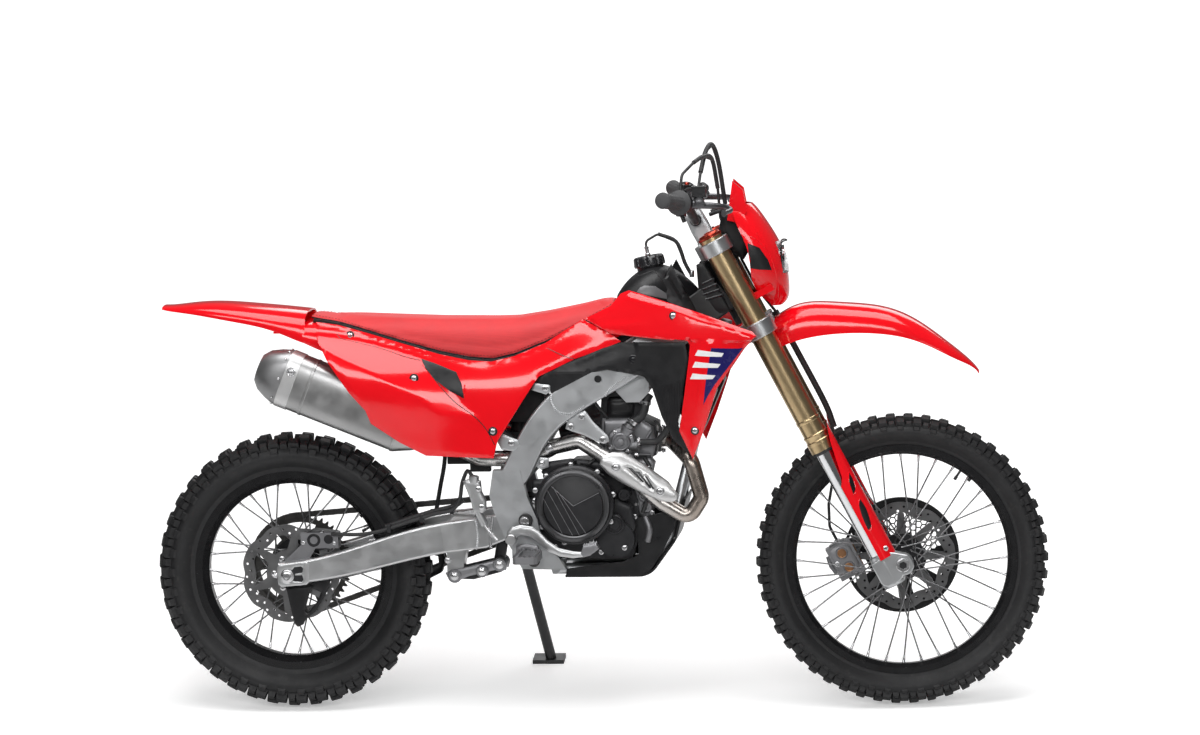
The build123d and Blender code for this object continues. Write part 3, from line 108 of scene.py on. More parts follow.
# ------------------------------------------------ materials
class Shade:
    """A small builder for one node material."""

    def __init__(self, name):
        self.mat = bpy.data.materials.new(name)
        self.mat.use_nodes = True
        self.tree = self.mat.node_tree
        self.bsdf = self.tree.nodes["Principled BSDF"]
        coord = self.tree.nodes.new("ShaderNodeTexCoord")
        mapping = self.tree.nodes.new("ShaderNodeMapping")
        back = PLACE_MM.inverted()
        location, turn, scale = back.decompose()
        mapping.inputs["Location"].default_value = location
        mapping.inputs["Rotation"].default_value = turn.to_euler()
        mapping.inputs["Scale"].default_value = scale
        self.tree.links.new(coord.outputs["Object"], mapping.inputs["Vector"])
        self.place = mapping.outputs["Vector"]

    def feed(self, socket, value):
        """Links an output to a socket, or sets the socket's own value."""
        if isinstance(value, bpy.types.NodeSocket):
            self.tree.links.new(value, socket)
        else:
            socket.default_value = value

    def set(self, **values):
        for key, value in values.items():
            self.feed(self.bsdf.inputs[key.replace("_", " ").title().replace("Ior", "IOR")], value)
        return self

    def node(self, kind, inputs=(), **options):
        made = self.tree.nodes.new("ShaderNode" + kind)
        for key, value in options.items():
            setattr(made, key, value)
        for key, value in dict(inputs).items():
            self.feed(made.inputs[key], value)
        return made

    def stretch(self, scale):
        return self.node("Mapping", {"Vector": self.place, "Scale": scale}).outputs["Vector"]

    def noise(self, scale, detail=4.0, rough=0.55, vector=None):
        made = self.node("TexNoise", {"Vector": vector or self.place, "Scale": scale, "Detail": detail,
                                      "Roughness": rough})
        return made.outputs["Fac"]

    def span(self, value, low, high, start=0.3, end=0.7):
        made = self.node("MapRange", {"Value": value, "From Min": start, "From Max": end,
                                      "To Min": low, "To Max": high})
        return made.outputs["Result"]

    def math(self, kind, a, b=0.0, c=0.0):
        made = self.node("Math", operation=kind)
        for socket, value in zip(made.inputs, (a, b, c)):
            self.feed(socket, value)
        return made.outputs[0]

    def mix(self, factor, a, b):
        made = self.node("Mix", data_type="RGBA")
        self.feed(made.inputs[0], factor)
        for socket, colour in zip(made.inputs[6:8], (a, b)):
            self.feed(socket, (*colour, 1) if isinstance(colour, tuple) else colour)
        return made.outputs[2]

    def bump(self, height, strength=0.3, distance=0.0005, normal=None):
        inputs = {"Height": height, "Strength": strength, "Distance": distance}
        if normal:
            inputs["Normal"] = normal
        return self.node("Bump", inputs).outputs["Normal"]

    def axes(self):
        return self.node("SeparateXYZ", {"Vector": self.place}).outputs


def tint(colour, factor):
    """A lighter or darker colour."""
    return tuple(min(1.0, c * factor) for c in colour[:3])


def plain(name, colour, rough, metal=0.0, vary=0.12, rough_vary=0.12, grain=0.5, grain_size=0.15,
          brush=None, wear=None, **more):
    """A material with cloudy colour, uneven gloss and a fine grain. Sizes are in 1/mm."""
    s = Shade(name)
    cloud = s.noise(0.011, 5, 0.6)
    base = s.mix(s.span(cloud, 0, 1), tint(colour, 1 - vary), tint(colour, 1 + vary))
    if wear:
        rub = s.span(s.noise(0.05, 8, 0.75), 0, 1, 0.56, 0.72)
        base = s.mix(rub, base, wear)
    fine = s.noise(grain_size, 6, 0.6, s.stretch(brush) if brush else None)
    if metal > 0.5:
        smudge, spread, depth = s.noise(0.03, 3, 0.5), rough_vary * 0.5, grain * 0.07
    else:
        smudge, spread, depth = s.noise(0.03, 6, 0.7), rough_vary, grain * 0.7
    gloss = s.span(smudge, max(rough - spread, 0.02), min(rough + spread, 1))
    normal = s.bump(fine, depth, 0.0004)
    return s.set(base_color=base, roughness=gloss, metallic=metal, normal=normal, **more).mat


def glossy_red(name):
    """The red plastic: a clear coat with a little dust on it."""
    s = Shade(name)
    cloud = s.noise(0.006, 3, 0.5)
    base = s.mix(s.span(cloud, 0, 1), (0.76, 0.002, 0.007), (0.84, 0.003, 0.010))
    dust = s.span(s.noise(0.35, 8, 0.7), 0.10, 0.17)
    normal = s.bump(s.noise(0.05, 4, 0.5), 0.12, 0.0002)
    return s.set(base_color=base, roughness=dust, normal=normal, specular_ior_level=0.40,
                 coat_weight=0.5, coat_roughness=0.03).mat


SATIN = (0.46, 0.47, 0.48)
RED = glossy_red("red_gloss_plastic")
BLACK = plain("black_fine_plastic", (0.008, 0.008, 0.009), 0.38, grain=0.5, grain_size=0.9,
              specular_ior_level=0.35)
GLOSS_BLACK = plain("black_gloss_plastic", (0.012, 0.012, 0.014), 0.22, grain=0.2, grain_size=0.6)
RUBBER = plain("smooth_black_rubber", (0.020, 0.020, 0.021), 0.55, grain=0.35, grain_size=0.6)
TYRE = plain("tyre_rubber", (0.011, 0.011, 0.012), 0.56, vary=0.25, grain=0.8, grain_size=0.35,
             wear=(0.026, 0.025, 0.024), specular_ior_level=0.4)
FRAME_METAL = plain("satin_frame_metal", SATIN, 0.40, 0.9, vary=0.05, grain=0.35, grain_size=0.5)
ALLOY = plain("brushed_alloy", (0.52, 0.525, 0.53), 0.34, 1.0, vary=0.05, grain=0.5, grain_size=0.5,
              brush=(0.08, 1, 1.4))
CAST = plain("cast_grey_metal", (0.24, 0.24, 0.25), 0.44, 0.85, grain=0.8, grain_size=0.5)
DARK_CAST = plain("dark_cast_cover", (0.020, 0.020, 0.022), 0.38, 0.4, grain=0.8, grain_size=0.7)
RING_METAL = plain("turned_cover_ring", (0.085, 0.085, 0.088), 0.32, 0.9, vary=0.06, grain=0.3,
                   grain_size=0.8)
# The metal seen in the clutch cover's V notch: painted lighter than the cover, a painted highlight for the
# light that the V catches.
PAINTED_LIGHT_V_FLOOR = plain("v_recess_metal_painted_light", (0.060, 0.060, 0.062), 0.42, 0.5, vary=0.08, grain=0.5)
SPOKE = plain("dull_spoke_steel", (0.20, 0.20, 0.205), 0.30, 1.0, vary=0.15, grain=0.3)
STAND_METAL = plain("dark_stand_steel", (0.06, 0.06, 0.062), 0.42, 0.7, grain=0.5)
BLACK_METAL = plain("satin_black_metal", (0.022, 0.022, 0.024), 0.36, 0.3, grain=0.3)
STEEL = plain("machined_steel", (0.56, 0.56, 0.57), 0.26, 1.0, grain=0.2, grain_size=1.2)
CHROME = plain("hard_chrome", (0.74, 0.75, 0.76), 0.08, 1.0, vary=0.02, rough_vary=0.03, grain=0.05)
GOLD = plain("gold_anodised_tube", (0.52, 0.39, 0.22), 0.30, 1.0, rough_vary=0.02, vary=0.05, grain=0.0,
             grain_size=0.6, brush=(1, 1, 0.1))
RIM = plain("black_rim_paint", (0.012, 0.012, 0.013), 0.24, 0.2, rough_vary=0.05, grain=0.03)
DISC = plain("dark_disc_steel", (0.20, 0.20, 0.203), 0.34, 1.0, grain=0.4, grain_size=1.5)
HUB = plain("black_anodised_hub", (0.035, 0.035, 0.038), 0.34, 0.7, grain=0.3)
CHAIN = plain("chain_steel", (0.09, 0.088, 0.085), 0.36, 0.9, vary=0.3)
BRONZE = plain("bronze_parts", (0.36, 0.19, 0.10), 0.36, 1.0)


def glass(name, colour, rough):
    """A clear material with a slight ripple."""
    s = Shade(name)
    ripple = s.bump(s.noise(0.08, 3, 0.5), 0.06, 0.0003)
    shade = s.mix(s.span(s.noise(0.02, 3, 0.5), 0, 1), tint(colour, 0.94), colour)
    s.set(base_color=shade, roughness=rough, normal=ripple, alpha=0.45, specular_ior_level=0.6, ior=1.45)
    s.bsdf.inputs["Transmission Weight"].default_value = 0.6
    return s.mat


LENS = glass("clear_lens", (0.86, 0.90, 0.93), 0.05)
GLASS_BULB = glass("lamp_bulb_glass", (0.90, 0.88, 0.80), 0.10)
BLUE = plain("blue_gloss_panel", (0.010, 0.008, 0.100), 0.22, vary=0.06, grain=0.15)
WHITE = plain("white_gloss_panel", (0.80, 0.80, 0.80), 0.26, vary=0.03, grain=0.15)
GREY_PLASTIC = plain("grey_translucent_plastic", (0.13, 0.13, 0.135), 0.34, vary=0.10, grain=0.3,
                     grain_size=0.8)
ALLOY_BRIGHT = plain("bright_forged_alloy", (0.48, 0.485, 0.49), 0.38, 1.0, rough_vary=0.05, vary=0.05,
                     grain=0.5, grain_size=0.6)
CLAMP_METAL = plain("machined_clamp_alloy", (0.52, 0.53, 0.54), 0.34, 1.0, rough_vary=0.04, vary=0.05,
                    grain=0.3, grain_size=0.9)
SHIELD_METAL = plain("satin_shield_alloy", (0.60, 0.60, 0.60), 0.40, 0.9, rough_vary=0.05, vary=0.05,
                     grain=0.5, grain_size=0.9)
CAN_METAL = plain("brushed_can_alloy", (0.38, 0.38, 0.38), 0.36, 1.0, vary=0.06, grain=0.45,
                  grain_size=0.8, brush=(0.06, 1.4, 1.0))
END_METAL = plain("end_cap_alloy", (0.33, 0.33, 0.335), 0.40, 0.95, vary=0.08, grain=0.5, grain_size=0.7)
LEVER_METAL = plain("grey_anodised_lever", (0.10, 0.10, 0.105), 0.34, 0.8, vary=0.08, grain=0.4,
                    grain_size=0.6)
ANODISED_RED = plain("red_anodised_metal", (0.42, 0.05, 0.03), 0.28, 0.9, vary=0.08, grain=0.25)
THREAD = plain("dark_thread", (0.035, 0.012, 0.012), 0.8, vary=0.2, grain=0.6, grain_size=2.0)
GRIP_RUBBER = plain("soft_grip_rubber", (0.045, 0.045, 0.047), 0.62, vary=0.15, grain=0.7, grain_size=1.2)


def cover_cloth():
    """The seat's gripper cover: matte red with a fine raised dot weave."""
    s = Shade("red_grip_cover")
    cloud = s.noise(0.012, 4, 0.6)
    base = s.mix(s.span(cloud, 0, 1), (0.56, 0.016, 0.020), (0.66, 0.026, 0.030))
    dots = s.node("TexVoronoi", {"Vector": s.place, "Scale": 0.55, "Randomness": 0.15}).outputs[
        "Distance"]
    base = s.mix(s.span(dots, 0.35, 0.0, 0.1, 0.7), base, (0.36, 0.010, 0.014))
    weave = s.bump(s.math("SUBTRACT", 1.0, dots), 0.5, 0.0005)
    return s.set(base_color=base, roughness=s.span(cloud, 0.55, 0.68), normal=weave, sheen_weight=0.08,
                 sheen_roughness=0.5).mat


SEAT_CLOTH = cover_cloth()


def heated_steel():
    """The exhaust header: brushed steel with a straw and bronze heat tint towards the engine."""
    s = Shade("heated_header_steel")
    x, _, _ = s.axes()
    cloud = s.noise(0.02, 5, 0.6)
    heat = s.math("ADD", s.math("MULTIPLY", s.math("SUBTRACT", x, 880.0), 0.010),
                  s.math("MULTIPLY", cloud, 0.35))
    base = s.mix(s.span(heat, 0, 1, 0.1, 1.3), (0.58, 0.57, 0.56), (0.36, 0.31, 0.27))
    gloss = s.span(s.noise(0.04, 6, 0.7), 0.20, 0.38)
    normal = s.bump(s.noise(0.6, 5, 0.6), 0.25, 0.0003)
    return s.set(base_color=base, roughness=gloss, metallic=1.0, normal=normal).mat


HEADER_STEEL = heated_steel()

HEAD_FROM = 1348.0  # where the steering head begins along 0.87 x + 0.5 z


def covered_frame():
    """The main frame: satin metal, with black cover plates round the steering head."""
    s = Shade("frame_with_head_plates")
    x, _, z = s.axes()
    forward = s.math("ADD", s.math("MULTIPLY", x, 0.87), s.math("MULTIPLY", z, 0.5))
    cover = s.math("GREATER_THAN", forward, HEAD_FROM)
    metal = s.mix(s.span(s.noise(0.011, 5, 0.6), 0, 1), tint(SATIN, 0.95), tint(SATIN, 1.05))
    normal = s.bump(s.noise(0.5, 6, 0.6), 0.03, 0.0004)
    return s.set(base_color=s.mix(cover, metal, (0.008, 0.008, 0.009)),
                 roughness=s.span(s.noise(0.03, 3, 0.5), 0.34, 0.46),
                 metallic=s.math("SUBTRACT", 0.9, s.math("MULTIPLY", cover, 0.9)), normal=normal).mat


FRAME_WITH_HEAD = covered_frame()
BY_MATERIAL = ((TYRE, "rear_tyre front_tyre"), (RIM, "rear_rim front_rim"),
               (SPOKE, "rear_spokes front_spokes"), (HUB, "rear_hub front_hub"),
               (DISC, "rear_brake_disc front_brake_disc"), (CHAIN, "rear_sprocket chain"),
               (ALLOY, "triple_clamps silencer swingarm"), (GOLD, "fork_tubes"), (CHROME, "fork_sliders"),
               (STEEL, "front_axle rear_axle"), (CAST, "front_caliper rear_caliper foot_controls"),
               (BLACK, "front_disc_guard fuel_tank fuel_cap skid_plate radiators inner_panels airbox"),
               (BLACK, "rear_disc_guard"),
               (RED, "fork_guards front_fender headlight_mask shrouds seat_cushion side_panels"),
               (RED, "rear_fender"), (BLACK_METAL, "handlebar bar_controls subframe rear_shock"),
               (RUBBER, "control_cables breather_hose"), (LENS, "headlight"), (STAND_METAL, "side_stand"),
               (FRAME_WITH_HEAD, "main_frame"), (FRAME_METAL, "frame_cradle"),
               (HEADER_STEEL, "exhaust_pipe"), (DARK_CAST, "engine"))
# the slot named for each material, which add() looks up unless it is told another and then keeps nowhere
SLOTS = {"bright_steel": (STEEL, DISC, CHROME), "shock_metal": (CHAIN,),
         "red_plastic": (RED, BLUE, WHITE), "black_plastic": (BLACK, GLOSS_BLACK, GREY_PLASTIC),
         "engine_metal": (DARK_CAST, RING_METAL, PAINTED_LIGHT_V_FLOOR, CAST, BRONZE),
         "seat_cover": (SEAT_CLOTH, THREAD), "black_rubber": (RUBBER, GRIP_RUBBER),
         "black_metal": (BLACK_METAL, LEVER_METAL), "frame_metal": (FRAME_METAL,),
         "exhaust_steel": (SHIELD_METAL, CAN_METAL, END_METAL),
         "brushed_alloy": (ALLOY_BRIGHT, CLAMP_METAL), "fork_gold": (GOLD, ANODISED_RED),
         "lamp_lens": (GLASS_BULB,), "tyre": (TYRE,)}
USUAL_SLOT = {material.name: slot for slot, materials in SLOTS.items() for material in materials}
for material, nodes in BY_MATERIAL:
    for node in nodes.split():
        mesh = frame["nodes"][node].data
        mesh.materials.clear()
        mesh.materials.append(material)


# ------------------------------------------------ mesh building, in millimetres
def array(values):
    return np.array(values, dtype=float)


def coordinates(mesh):
    """The places of a mesh's points, one row each."""
    co = np.empty(len(mesh.vertices) * 3)
    mesh.vertices.foreach_get("co", co)
    return co.reshape(-1, 3)


def merge(*parts):
    """Several (points, faces) parts as one."""
    verts, faces, count = [], [], 0
    for v, f in parts:
        v = array(v)
        verts.append(v)
        faces += [tuple(i + count for i in q) for q in f]
        count += len(v)
    return np.vstack(verts), faces


def moved(part, matrix):
    """A part after a matrix."""
    v, f = part
    m = array(matrix)
    return v @ m[:3, :3].T + m[:3, 3], f


def upright(points):
    """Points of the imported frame, in millimetres of the upright machine's frame."""
    return moved((points, None), PLACE_MM.inverted())[0]


def mirrored(part):
    """A part on the machine's other side."""
    v, f = part
    return v * array((1, -1, 1)), [q[::-1] for q in f]


def both(part):
    """A part and its mirror image."""
    return merge(part, mirrored(part))


def aim(centre, way, spin=0.0):
    """A matrix that takes local +Z to way at centre."""
    turn = Vector(way).to_track_quat("Z", "Y").to_matrix().to_4x4() @ Matrix.Rotation(spin, 4, "Z")
    return Matrix.Translation(centre) @ turn


def between(a, b, c, d, t):
    """A point a share t of the way from b to c on the smooth curve through all four."""
    return 0.5 * (2 * b + (c - a) * t + (2 * a - 5 * b + 4 * c - d) * t * t + (
                      3 * b - a - 3 * c + d) * t ** 3)


def smooth(points, step=8.0):
    """Points along a smooth curve through the given ones, about a step apart."""
    p = array(points)
    p = np.vstack([2 * p[0] - p[1], p, 2 * p[-1] - p[-2]])
    out = []
    for a, b, c, d in zip(p, p[1:], p[2:], p[3:]):
        count = max(2, int(np.linalg.norm(c - b) / step))
        for t in np.linspace(0, 1, count, endpoint=False):
            out.append(between(a, b, c, d, t))
    out.append(p[-2])
    return array(out)


def tube(path, radius, sides=14, caps=True, flat=1.0):
    """A tube along a path. radius may be one number or one for each point."""
    p = array(path)
    way = np.gradient(p, axis=0)
    way /= np.linalg.norm(way, axis=1)[:, None]
    first = np.cross(way[0], (0.3, 1, 0.2))
    u = first / np.linalg.norm(first)
    angles = np.linspace(0, 2 * math.pi, sides, endpoint=False)
    radii = np.broadcast_to(array(radius), len(p))
    verts = []
    for point, t, r in zip(p, way, radii):
        u = u - t * np.dot(u, t)
        u /= np.linalg.norm(u)
        w = np.cross(t, u)
        verts += [point + r * (math.cos(a) * u + flat * math.sin(a) * w) for a in angles]
    faces = []
    for i in range(len(p) - 1):
        for j in range(sides):
            k = (j + 1) % sides
            faces.append((i * sides + j, i * sides + k, (i + 1) * sides + k, (i + 1) * sides + j))
    if caps:
        faces += [tuple(range(sides))[::-1], tuple(range((len(p) - 1) * sides, len(p) * sides))]
    return array(verts), faces


def lathe(profile, sides=48, closed=False, wobble=None):
    """A shape turned about local Z, from (radius, height) points."""
    verts, faces = [], []
    for j in range(sides):
        a = 2 * math.pi * j / sides
        for r, h in profile:
            rr = r + (wobble(a, r, h) if wobble else 0)
            verts.append((rr * math.cos(a), rr * math.sin(a), h))
    n = len(profile)
    rows = n if closed else n - 1
    for j in range(sides):
        k = (j + 1) % sides
        for i in range(rows):
            m = (i + 1) % n
            faces.append((j * n + i, k * n + i, k * n + m, j * n + m))
    if not closed:
        for end in (0, n - 1):
            if profile[end][0] > 0.01:
                faces.append(tuple(j * n + end for j in range(sides)))
    return array(verts), faces


def swept(points, radius, sides=20, step=6):
    """A tube along a smooth curve through the points."""
    return tube(smooth(points, step), radius, sides)


def barrel(centre, way, steps, sides=32, closed=False):
    """A turned body from (radius, height) steps, pointing along way."""
    return moved(lathe(steps, sides, closed), aim(centre, way))


def turned_y(profile, centre=(0, 0, 0), sides=64, closed=False, wobble=None):
    """The same, turned about an axis along Y: profile is (radius, y)."""
    x, y, z = centre
    part = lathe(profile, sides, closed, wobble)
    v, f = part
    return np.column_stack([v[:, 0] + x, v[:, 2] + y, v[:, 1] + z]), [q[::-1] for q in f]


def plate(loops, low, high):
    """A flat plate across Y: an outer outline in x, z and then its holes."""
    flat = [p for loop in loops for p in loop]
    tris = tessellate_polygon([[Vector((x, z, 0)) for x, z in loop] for loop in loops])
    n = len(flat)
    verts = [(x, low, z) for x, z in flat] + [(x, high, z) for x, z in flat]
    faces = [tuple(t) for t in tris] + [tuple(i + n for i in t)[::-1] for t in tris]
    start = 0
    for loop in loops:
        m = len(loop)
        for i in range(m):
            a, b = start + i, start + (i + 1) % m
            faces.append((a, b, b + n, a + n))
        start += m
    return array(verts), faces


def prism(points, low, high):
    """A solid across Y from one outline in x, z."""
    n = len(points)
    verts = [(x, low, z) for x, z in points] + [(x, high, z) for x, z in points]
    faces = [tuple(range(n)), tuple(range(n, 2 * n))[::-1]]
    faces += [(i, (i + 1) % n, (i + 1) % n + n, i + n) for i in range(n)]
    return array(verts), faces


def brick(centre, size):
    """A box round a centre."""
    x, y, z = (s / 2 for s in size)
    v = array([(sx * x, sy * y, sz * z) for sx in (-1, 1) for sy in (-1, 1) for sz in (-1, 1)])
    f = [(0, 1, 3, 2), (4, 6, 7, 5), (0, 4, 5, 1), (2, 3, 7, 6), (0, 2, 6, 4), (1, 5, 7, 3)]
    return moved((v, f), Matrix.Translation(centre))


def polar(radius, angle, x=0.0, z=0.0):
    """The point at a radius and an angle round x, z."""
    return x + radius * math.cos(angle), z + radius * math.sin(angle)


def circle(x, z, r, n=20, start=0.0):
    """An outline of n points round x, z."""
    return [polar(r, start + 2 * math.pi * i / n, x, z) for i in range(n)]


def ring_of(part, count, centre=(0, 0, 0), start=0.0):
    """Copies turned about an axis along Y."""
    out = []
    for i in range(count):
        turn = Matrix.Rotation(start + 2 * math.pi * i / count, 4, "Y")
        out.append(moved(part, Matrix.Translation(centre) @ turn))
    return merge(*out)


def bolt(centre, way, radius=5.0, height=4.0, kind="hex", flange=1.3):
    """A bolt head with its flange, standing on centre and facing way."""
    r, h = radius, height
    if kind == "hex":
        ring = [(r * flange, 0), (r * flange, h * 0.25), (r, h * 0.35), (r, h), (r * 0.82, h * 1.12)]
        body = lathe(ring, 6)
        wide = lathe([(r * flange, -1), (r * flange, h * 0.25), (r * 0.9, h * 0.34)], 20)
        part = merge(body, wide)
    else:
        part = lathe([(r * flange, -1), (r * flange, h * 0.3), (r, h * 0.42), (r, h * 0.9), (r * 0.86, h),
                      (r * 0.52, h), (r * 0.50, h * 0.4), (0.001, h * 0.38)], 18)
    return moved(part, aim(centre, way))


BEVEL_FROM = 40  # degrees between two faces


def add(name, parts, material, slot=None, body="chassis", matrix=None, replaces=(), angle=35,
        bevel=0.0):
    """Makes one mesh of parts in millimetres and gives it its material and its body."""
    v, f = moved(merge(*parts), PLACE_MM @ (matrix or Matrix.Identity(4)))
    mesh = bpy.data.meshes.new(name)
    mesh.from_pydata(v.tolist(), [], f)
    work = bmesh.new()
    work.from_mesh(mesh)
    bmesh.ops.recalc_face_normals(work, faces=work.faces)
    work.to_mesh(mesh)
    work.free()
    mesh.shade_smooth()
    mesh.set_sharp_from_angle(angle=math.radians(angle))
    obj = bpy.data.objects.new(name, mesh)
    bpy.context.scene.collection.objects.link(obj)
    mesh.materials.append(material)
    if bevel:
        edge = obj.modifiers.new("edge", "BEVEL")
        edge.width, edge.segments = bevel / 1000, 2
        edge.limit_method, edge.angle_limit = "ANGLE", math.radians(BEVEL_FROM)
    slot = slot or USUAL_SLOT[material.name]
    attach(obj, body)
    if replaces:
        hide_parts(*replaces)
    return obj


add_to_fork = functools.partial(add, body="fork", matrix=STEER)

# ------------------------------------------------ wheels
FRONT_WHEEL = STEER @ FRONT_AXLE
REAR_WHEEL = REAR_AXLE


def section(points):
    """A tyre's cross-section from its right-hand half, given from the bead to the crown."""
    half = list(points)
    full = [(r, -y) for r, y in half] + [(r, y) for r, y in reversed(half[:-1])]
    return array(full)


def along_section(rows, s):
    """A point of a cross-section by its parameter, from 0 at one bead to 8 at the other."""
    i = int(min(max(math.floor(s), 0), len(rows) - 2))
    t = s - i
    return between(*(rows[min(max(i + k, 0), len(rows) - 1)] for k in (-1, 0, 1, 2)), t)


def knob(crown, carcass, s0, s1, t0, t1, rise=1.0):
    """One tread block between two parameters across and two angles round the tyre."""
    verts = []
    sm, tm = (s0 + s1) / 2, (t0 + t1) / 2
    for level, shrink in ((-0.25, 1.12), (0.80, 0.96), (1.0, 0.84)):
        for s, t in ((s0, t0), (s1, t0), (s1, t1), (s0, t1)):
            s, t = sm + (s - sm) * shrink, tm + (t - tm) * shrink
            low, high = along_section(carcass, s), along_section(crown, s)
            r, y = low + (high - low) * level * rise
            verts.append((r * math.cos(t), y, r * math.sin(t)))
    faces = [(8, 9, 10, 11)]
    for row in (0, 4):
        faces += [(row + i, row + (i + 1) % 4, row + 4 + (i + 1) % 4, row + 4 + i) for i in range(4)]
    return array(verts), faces


UNEVEN = 0.015  # how far a tread block strays round the tyre, in pitches


def tyre(name, crown, carcass, inner, count, rows, matrix, body):
    """A tyre with its blocks. Sections are (radius, half width) from the bead to the crown. Rows are
    (near edge, far edge, phase, length, rise): edges across from the crown, the rest in pitches."""
    crown, carcass = section(crown), section(carcass)
    outline = [tuple(along_section(carcass, s)) for s in np.linspace(0, 8, 49)]
    back = [(r, y) for r, y in section(inner)][::-1]
    shell = turned_y([*outline, *back], sides=120, closed=True)
    pitch = 2 * math.pi / count
    blocks = []
    for n in range(count):
        for s0, s1, phase, length, rise in rows:
            for side in (-1, 1):
                low, high = (4 + s0, 4 + s1) if side > 0 else (4 - s1, 4 - s0)
                t = (n + phase + random.uniform(-UNEVEN, UNEVEN)) * pitch
                blocks.append(knob(crown, carcass, low, high, t - length * pitch / 2,
                                   t + length * pitch / 2, rise))
    return add(name, [shell, *blocks], TYRE, body=body, matrix=matrix,
               replaces=[body.replace("_wheel", "_tyre")], angle=28)


tyre("front_tyre_tread", crown=[(279, 20.6), (300.6, 39.6), (323.6, 44), (343, 29.9), (351, 0)],
     carcass=[(279, 20.6), (300, 37.5), (315, 39.0), (329, 26), (337, 0)],
     inner=[(270, 20.5), (300, 31), (314, 31), (325, 20), (327, 0)], count=50,
     rows=[(0.08, 0.44, 0.0, 0.46, 1.0), (0.54, 0.98, 0.06, 0.46, 1.0), (1.04, 1.62, 0.5, 0.50, 1.0),
           (1.22, 1.62, 0.0, 0.34, 0.7), (1.74, 2.2, 0.5, 0.36, 0.45)], matrix=FRONT_WHEEL,
     body="front_wheel")
tyre("rear_tyre_tread", crown=[(246, 26.6), (273.3, 53.1), (302.4, 59), (327, 40.1), (337, 0)],
     carcass=[(246, 26.6), (272, 51.0), (292, 53.0), (309.5, 34), (318.5, 0)],
     inner=[(234, 26.5), (272, 43), (290, 43), (304, 28), (308, 0)], count=39,
     rows=[(0.05, 0.36, 0.0, 0.50, 1.0), (0.44, 0.90, 0.08, 0.50, 1.0), (0.98, 1.54, 0.5, 0.52, 1.0),
           (1.12, 1.54, 0.0, 0.36, 0.8), (1.66, 2.15, 0.5, 0.40, 0.5)], matrix=REAR_WHEEL,
     body="rear_wheel")


def islands(obj):
    """The separate solids of a mesh, as arrays of points in millimetres of the upright frame."""
    mesh = obj.data
    count = len(mesh.vertices)
    co = coordinates(mesh)
    keys = {}
    parent = list(range(count))

    def find(a):
        while parent[a] != a:
            parent[a] = parent[parent[a]]
            a = parent[a]
        return a

    for i, p in enumerate(np.round(co, 6)):
        j = keys.setdefault(tuple(p), i)
        parent[find(i)] = find(j)
    for e in mesh.edges:
        parent[find(e.vertices[0])] = find(e.vertices[1])
    groups = {}
    for i in range(count):
        groups.setdefault(find(i), []).append(i)
    return [upright(co[g]) for g in groups.values()]


def nipples(node, axle):
    """A nipple on the rim end of each spoke of a CAD node."""
    centre = array(axle)
    parts = []
    for points in islands(frame["nodes"][node]):
        distance = np.linalg.norm(points - centre, axis=1)
        far = points[distance > distance.max() - 3].mean(axis=0)
        near = points[distance < distance.min() + 3].mean(axis=0)
        way = (near - far) / np.linalg.norm(near - far)
        head = lathe([(3.4, -2), (3.4, 5), (2.9, 6), (2.6, 15), (1.9, 17)], 10)
        parts.append(moved(head, aim(far, way)))
        knee = lathe([(2.4, -3), (2.6, 0), (1.9, 5)], 8)
        parts.append(moved(knee, aim(near, -way)))
    return parts


front_centre = (STEER @ FRONT_AXLE).translation
add("front_spoke_nipples", nipples("front_spokes", front_centre), STEEL, body="front_wheel")
add("rear_spoke_nipples", nipples("rear_spokes", REAR_CENTRE), STEEL, body="rear_wheel")


def wave_disc(y, radius, inner, lobes, depth, arms, carrier, hub_hole, start=0.0):
    """A brake disc: a waved and drilled band, carried on arms by a centre."""
    def rim_radius(a):
        return radius - depth * (0.5 - 0.5 * math.cos(lobes * a)) ** 3

    n = 240
    outer = [polar(rim_radius(a), a) for a in (2 * math.pi * i / n for i in range(n))]
    bore = [polar(inner + depth * 0.7 * math.cos(lobes * a), a)
            for a in (2 * math.pi * i / 120 for i in range(120))]
    holes = [bore]
    mid = (radius + inner) / 2
    for i in range(lobes * 6):
        a = 2 * math.pi * (i + 0.5) / (lobes * 6)
        r = mid + (radius - inner) * (0.20 if i % 2 else -0.14) - depth * 0.4
        holes.append(circle(*polar(r, a), 3.1, 10))
    band = plate([outer, *holes], y - 1.9, y + 1.9)
    spoke_parts = []
    for i in range(arms):
        a = start + 2 * math.pi * i / arms
        root, tip = 0.16 * 1.6, 0.075
        pts = [polar(carrier, a - root), polar(inner + 2, a - tip), polar(inner + 8, a),
               polar(inner + 2, a + tip), polar(carrier, a + root)]
        spoke_parts.append(prism(pts, y - 1.7, y + 1.7))
    middle = plate([circle(0, 0, carrier + 3, 64), circle(0, 0, hub_hole, 40)], y - 1.9, y + 1.9)
    side = -1 if y < 0 else 1
    heads = [bolt((x, y + side * 1.9, z), (0, side, 0), 5.5, 3.5, "socket")
             for x, z in circle(0, 0, 0.72 * carrier, 6)]
    return [band, *spoke_parts, middle], heads


disc, heads = wave_disc(y=60, radius=130, inner=100, lobes=8, depth=7, arms=8, carrier=52, hub_hole=27)
add("front_wave_disc", disc, DISC, body="front_wheel", matrix=FRONT_WHEEL, replaces=["front_brake_disc"])
add("front_disc_bolts", heads, STEEL, body="front_wheel", matrix=FRONT_WHEEL)
disc, heads = wave_disc(y=-72, radius=120, inner=90, lobes=7, depth=7, arms=6, carrier=56, hub_hole=27,
                        start=0.4)
add("rear_wave_disc", disc, DISC, body="rear_wheel", matrix=REAR_WHEEL, replaces=["rear_brake_disc"])
add("rear_disc_bolts", heads, STEEL, body="rear_wheel", matrix=REAR_WHEEL)

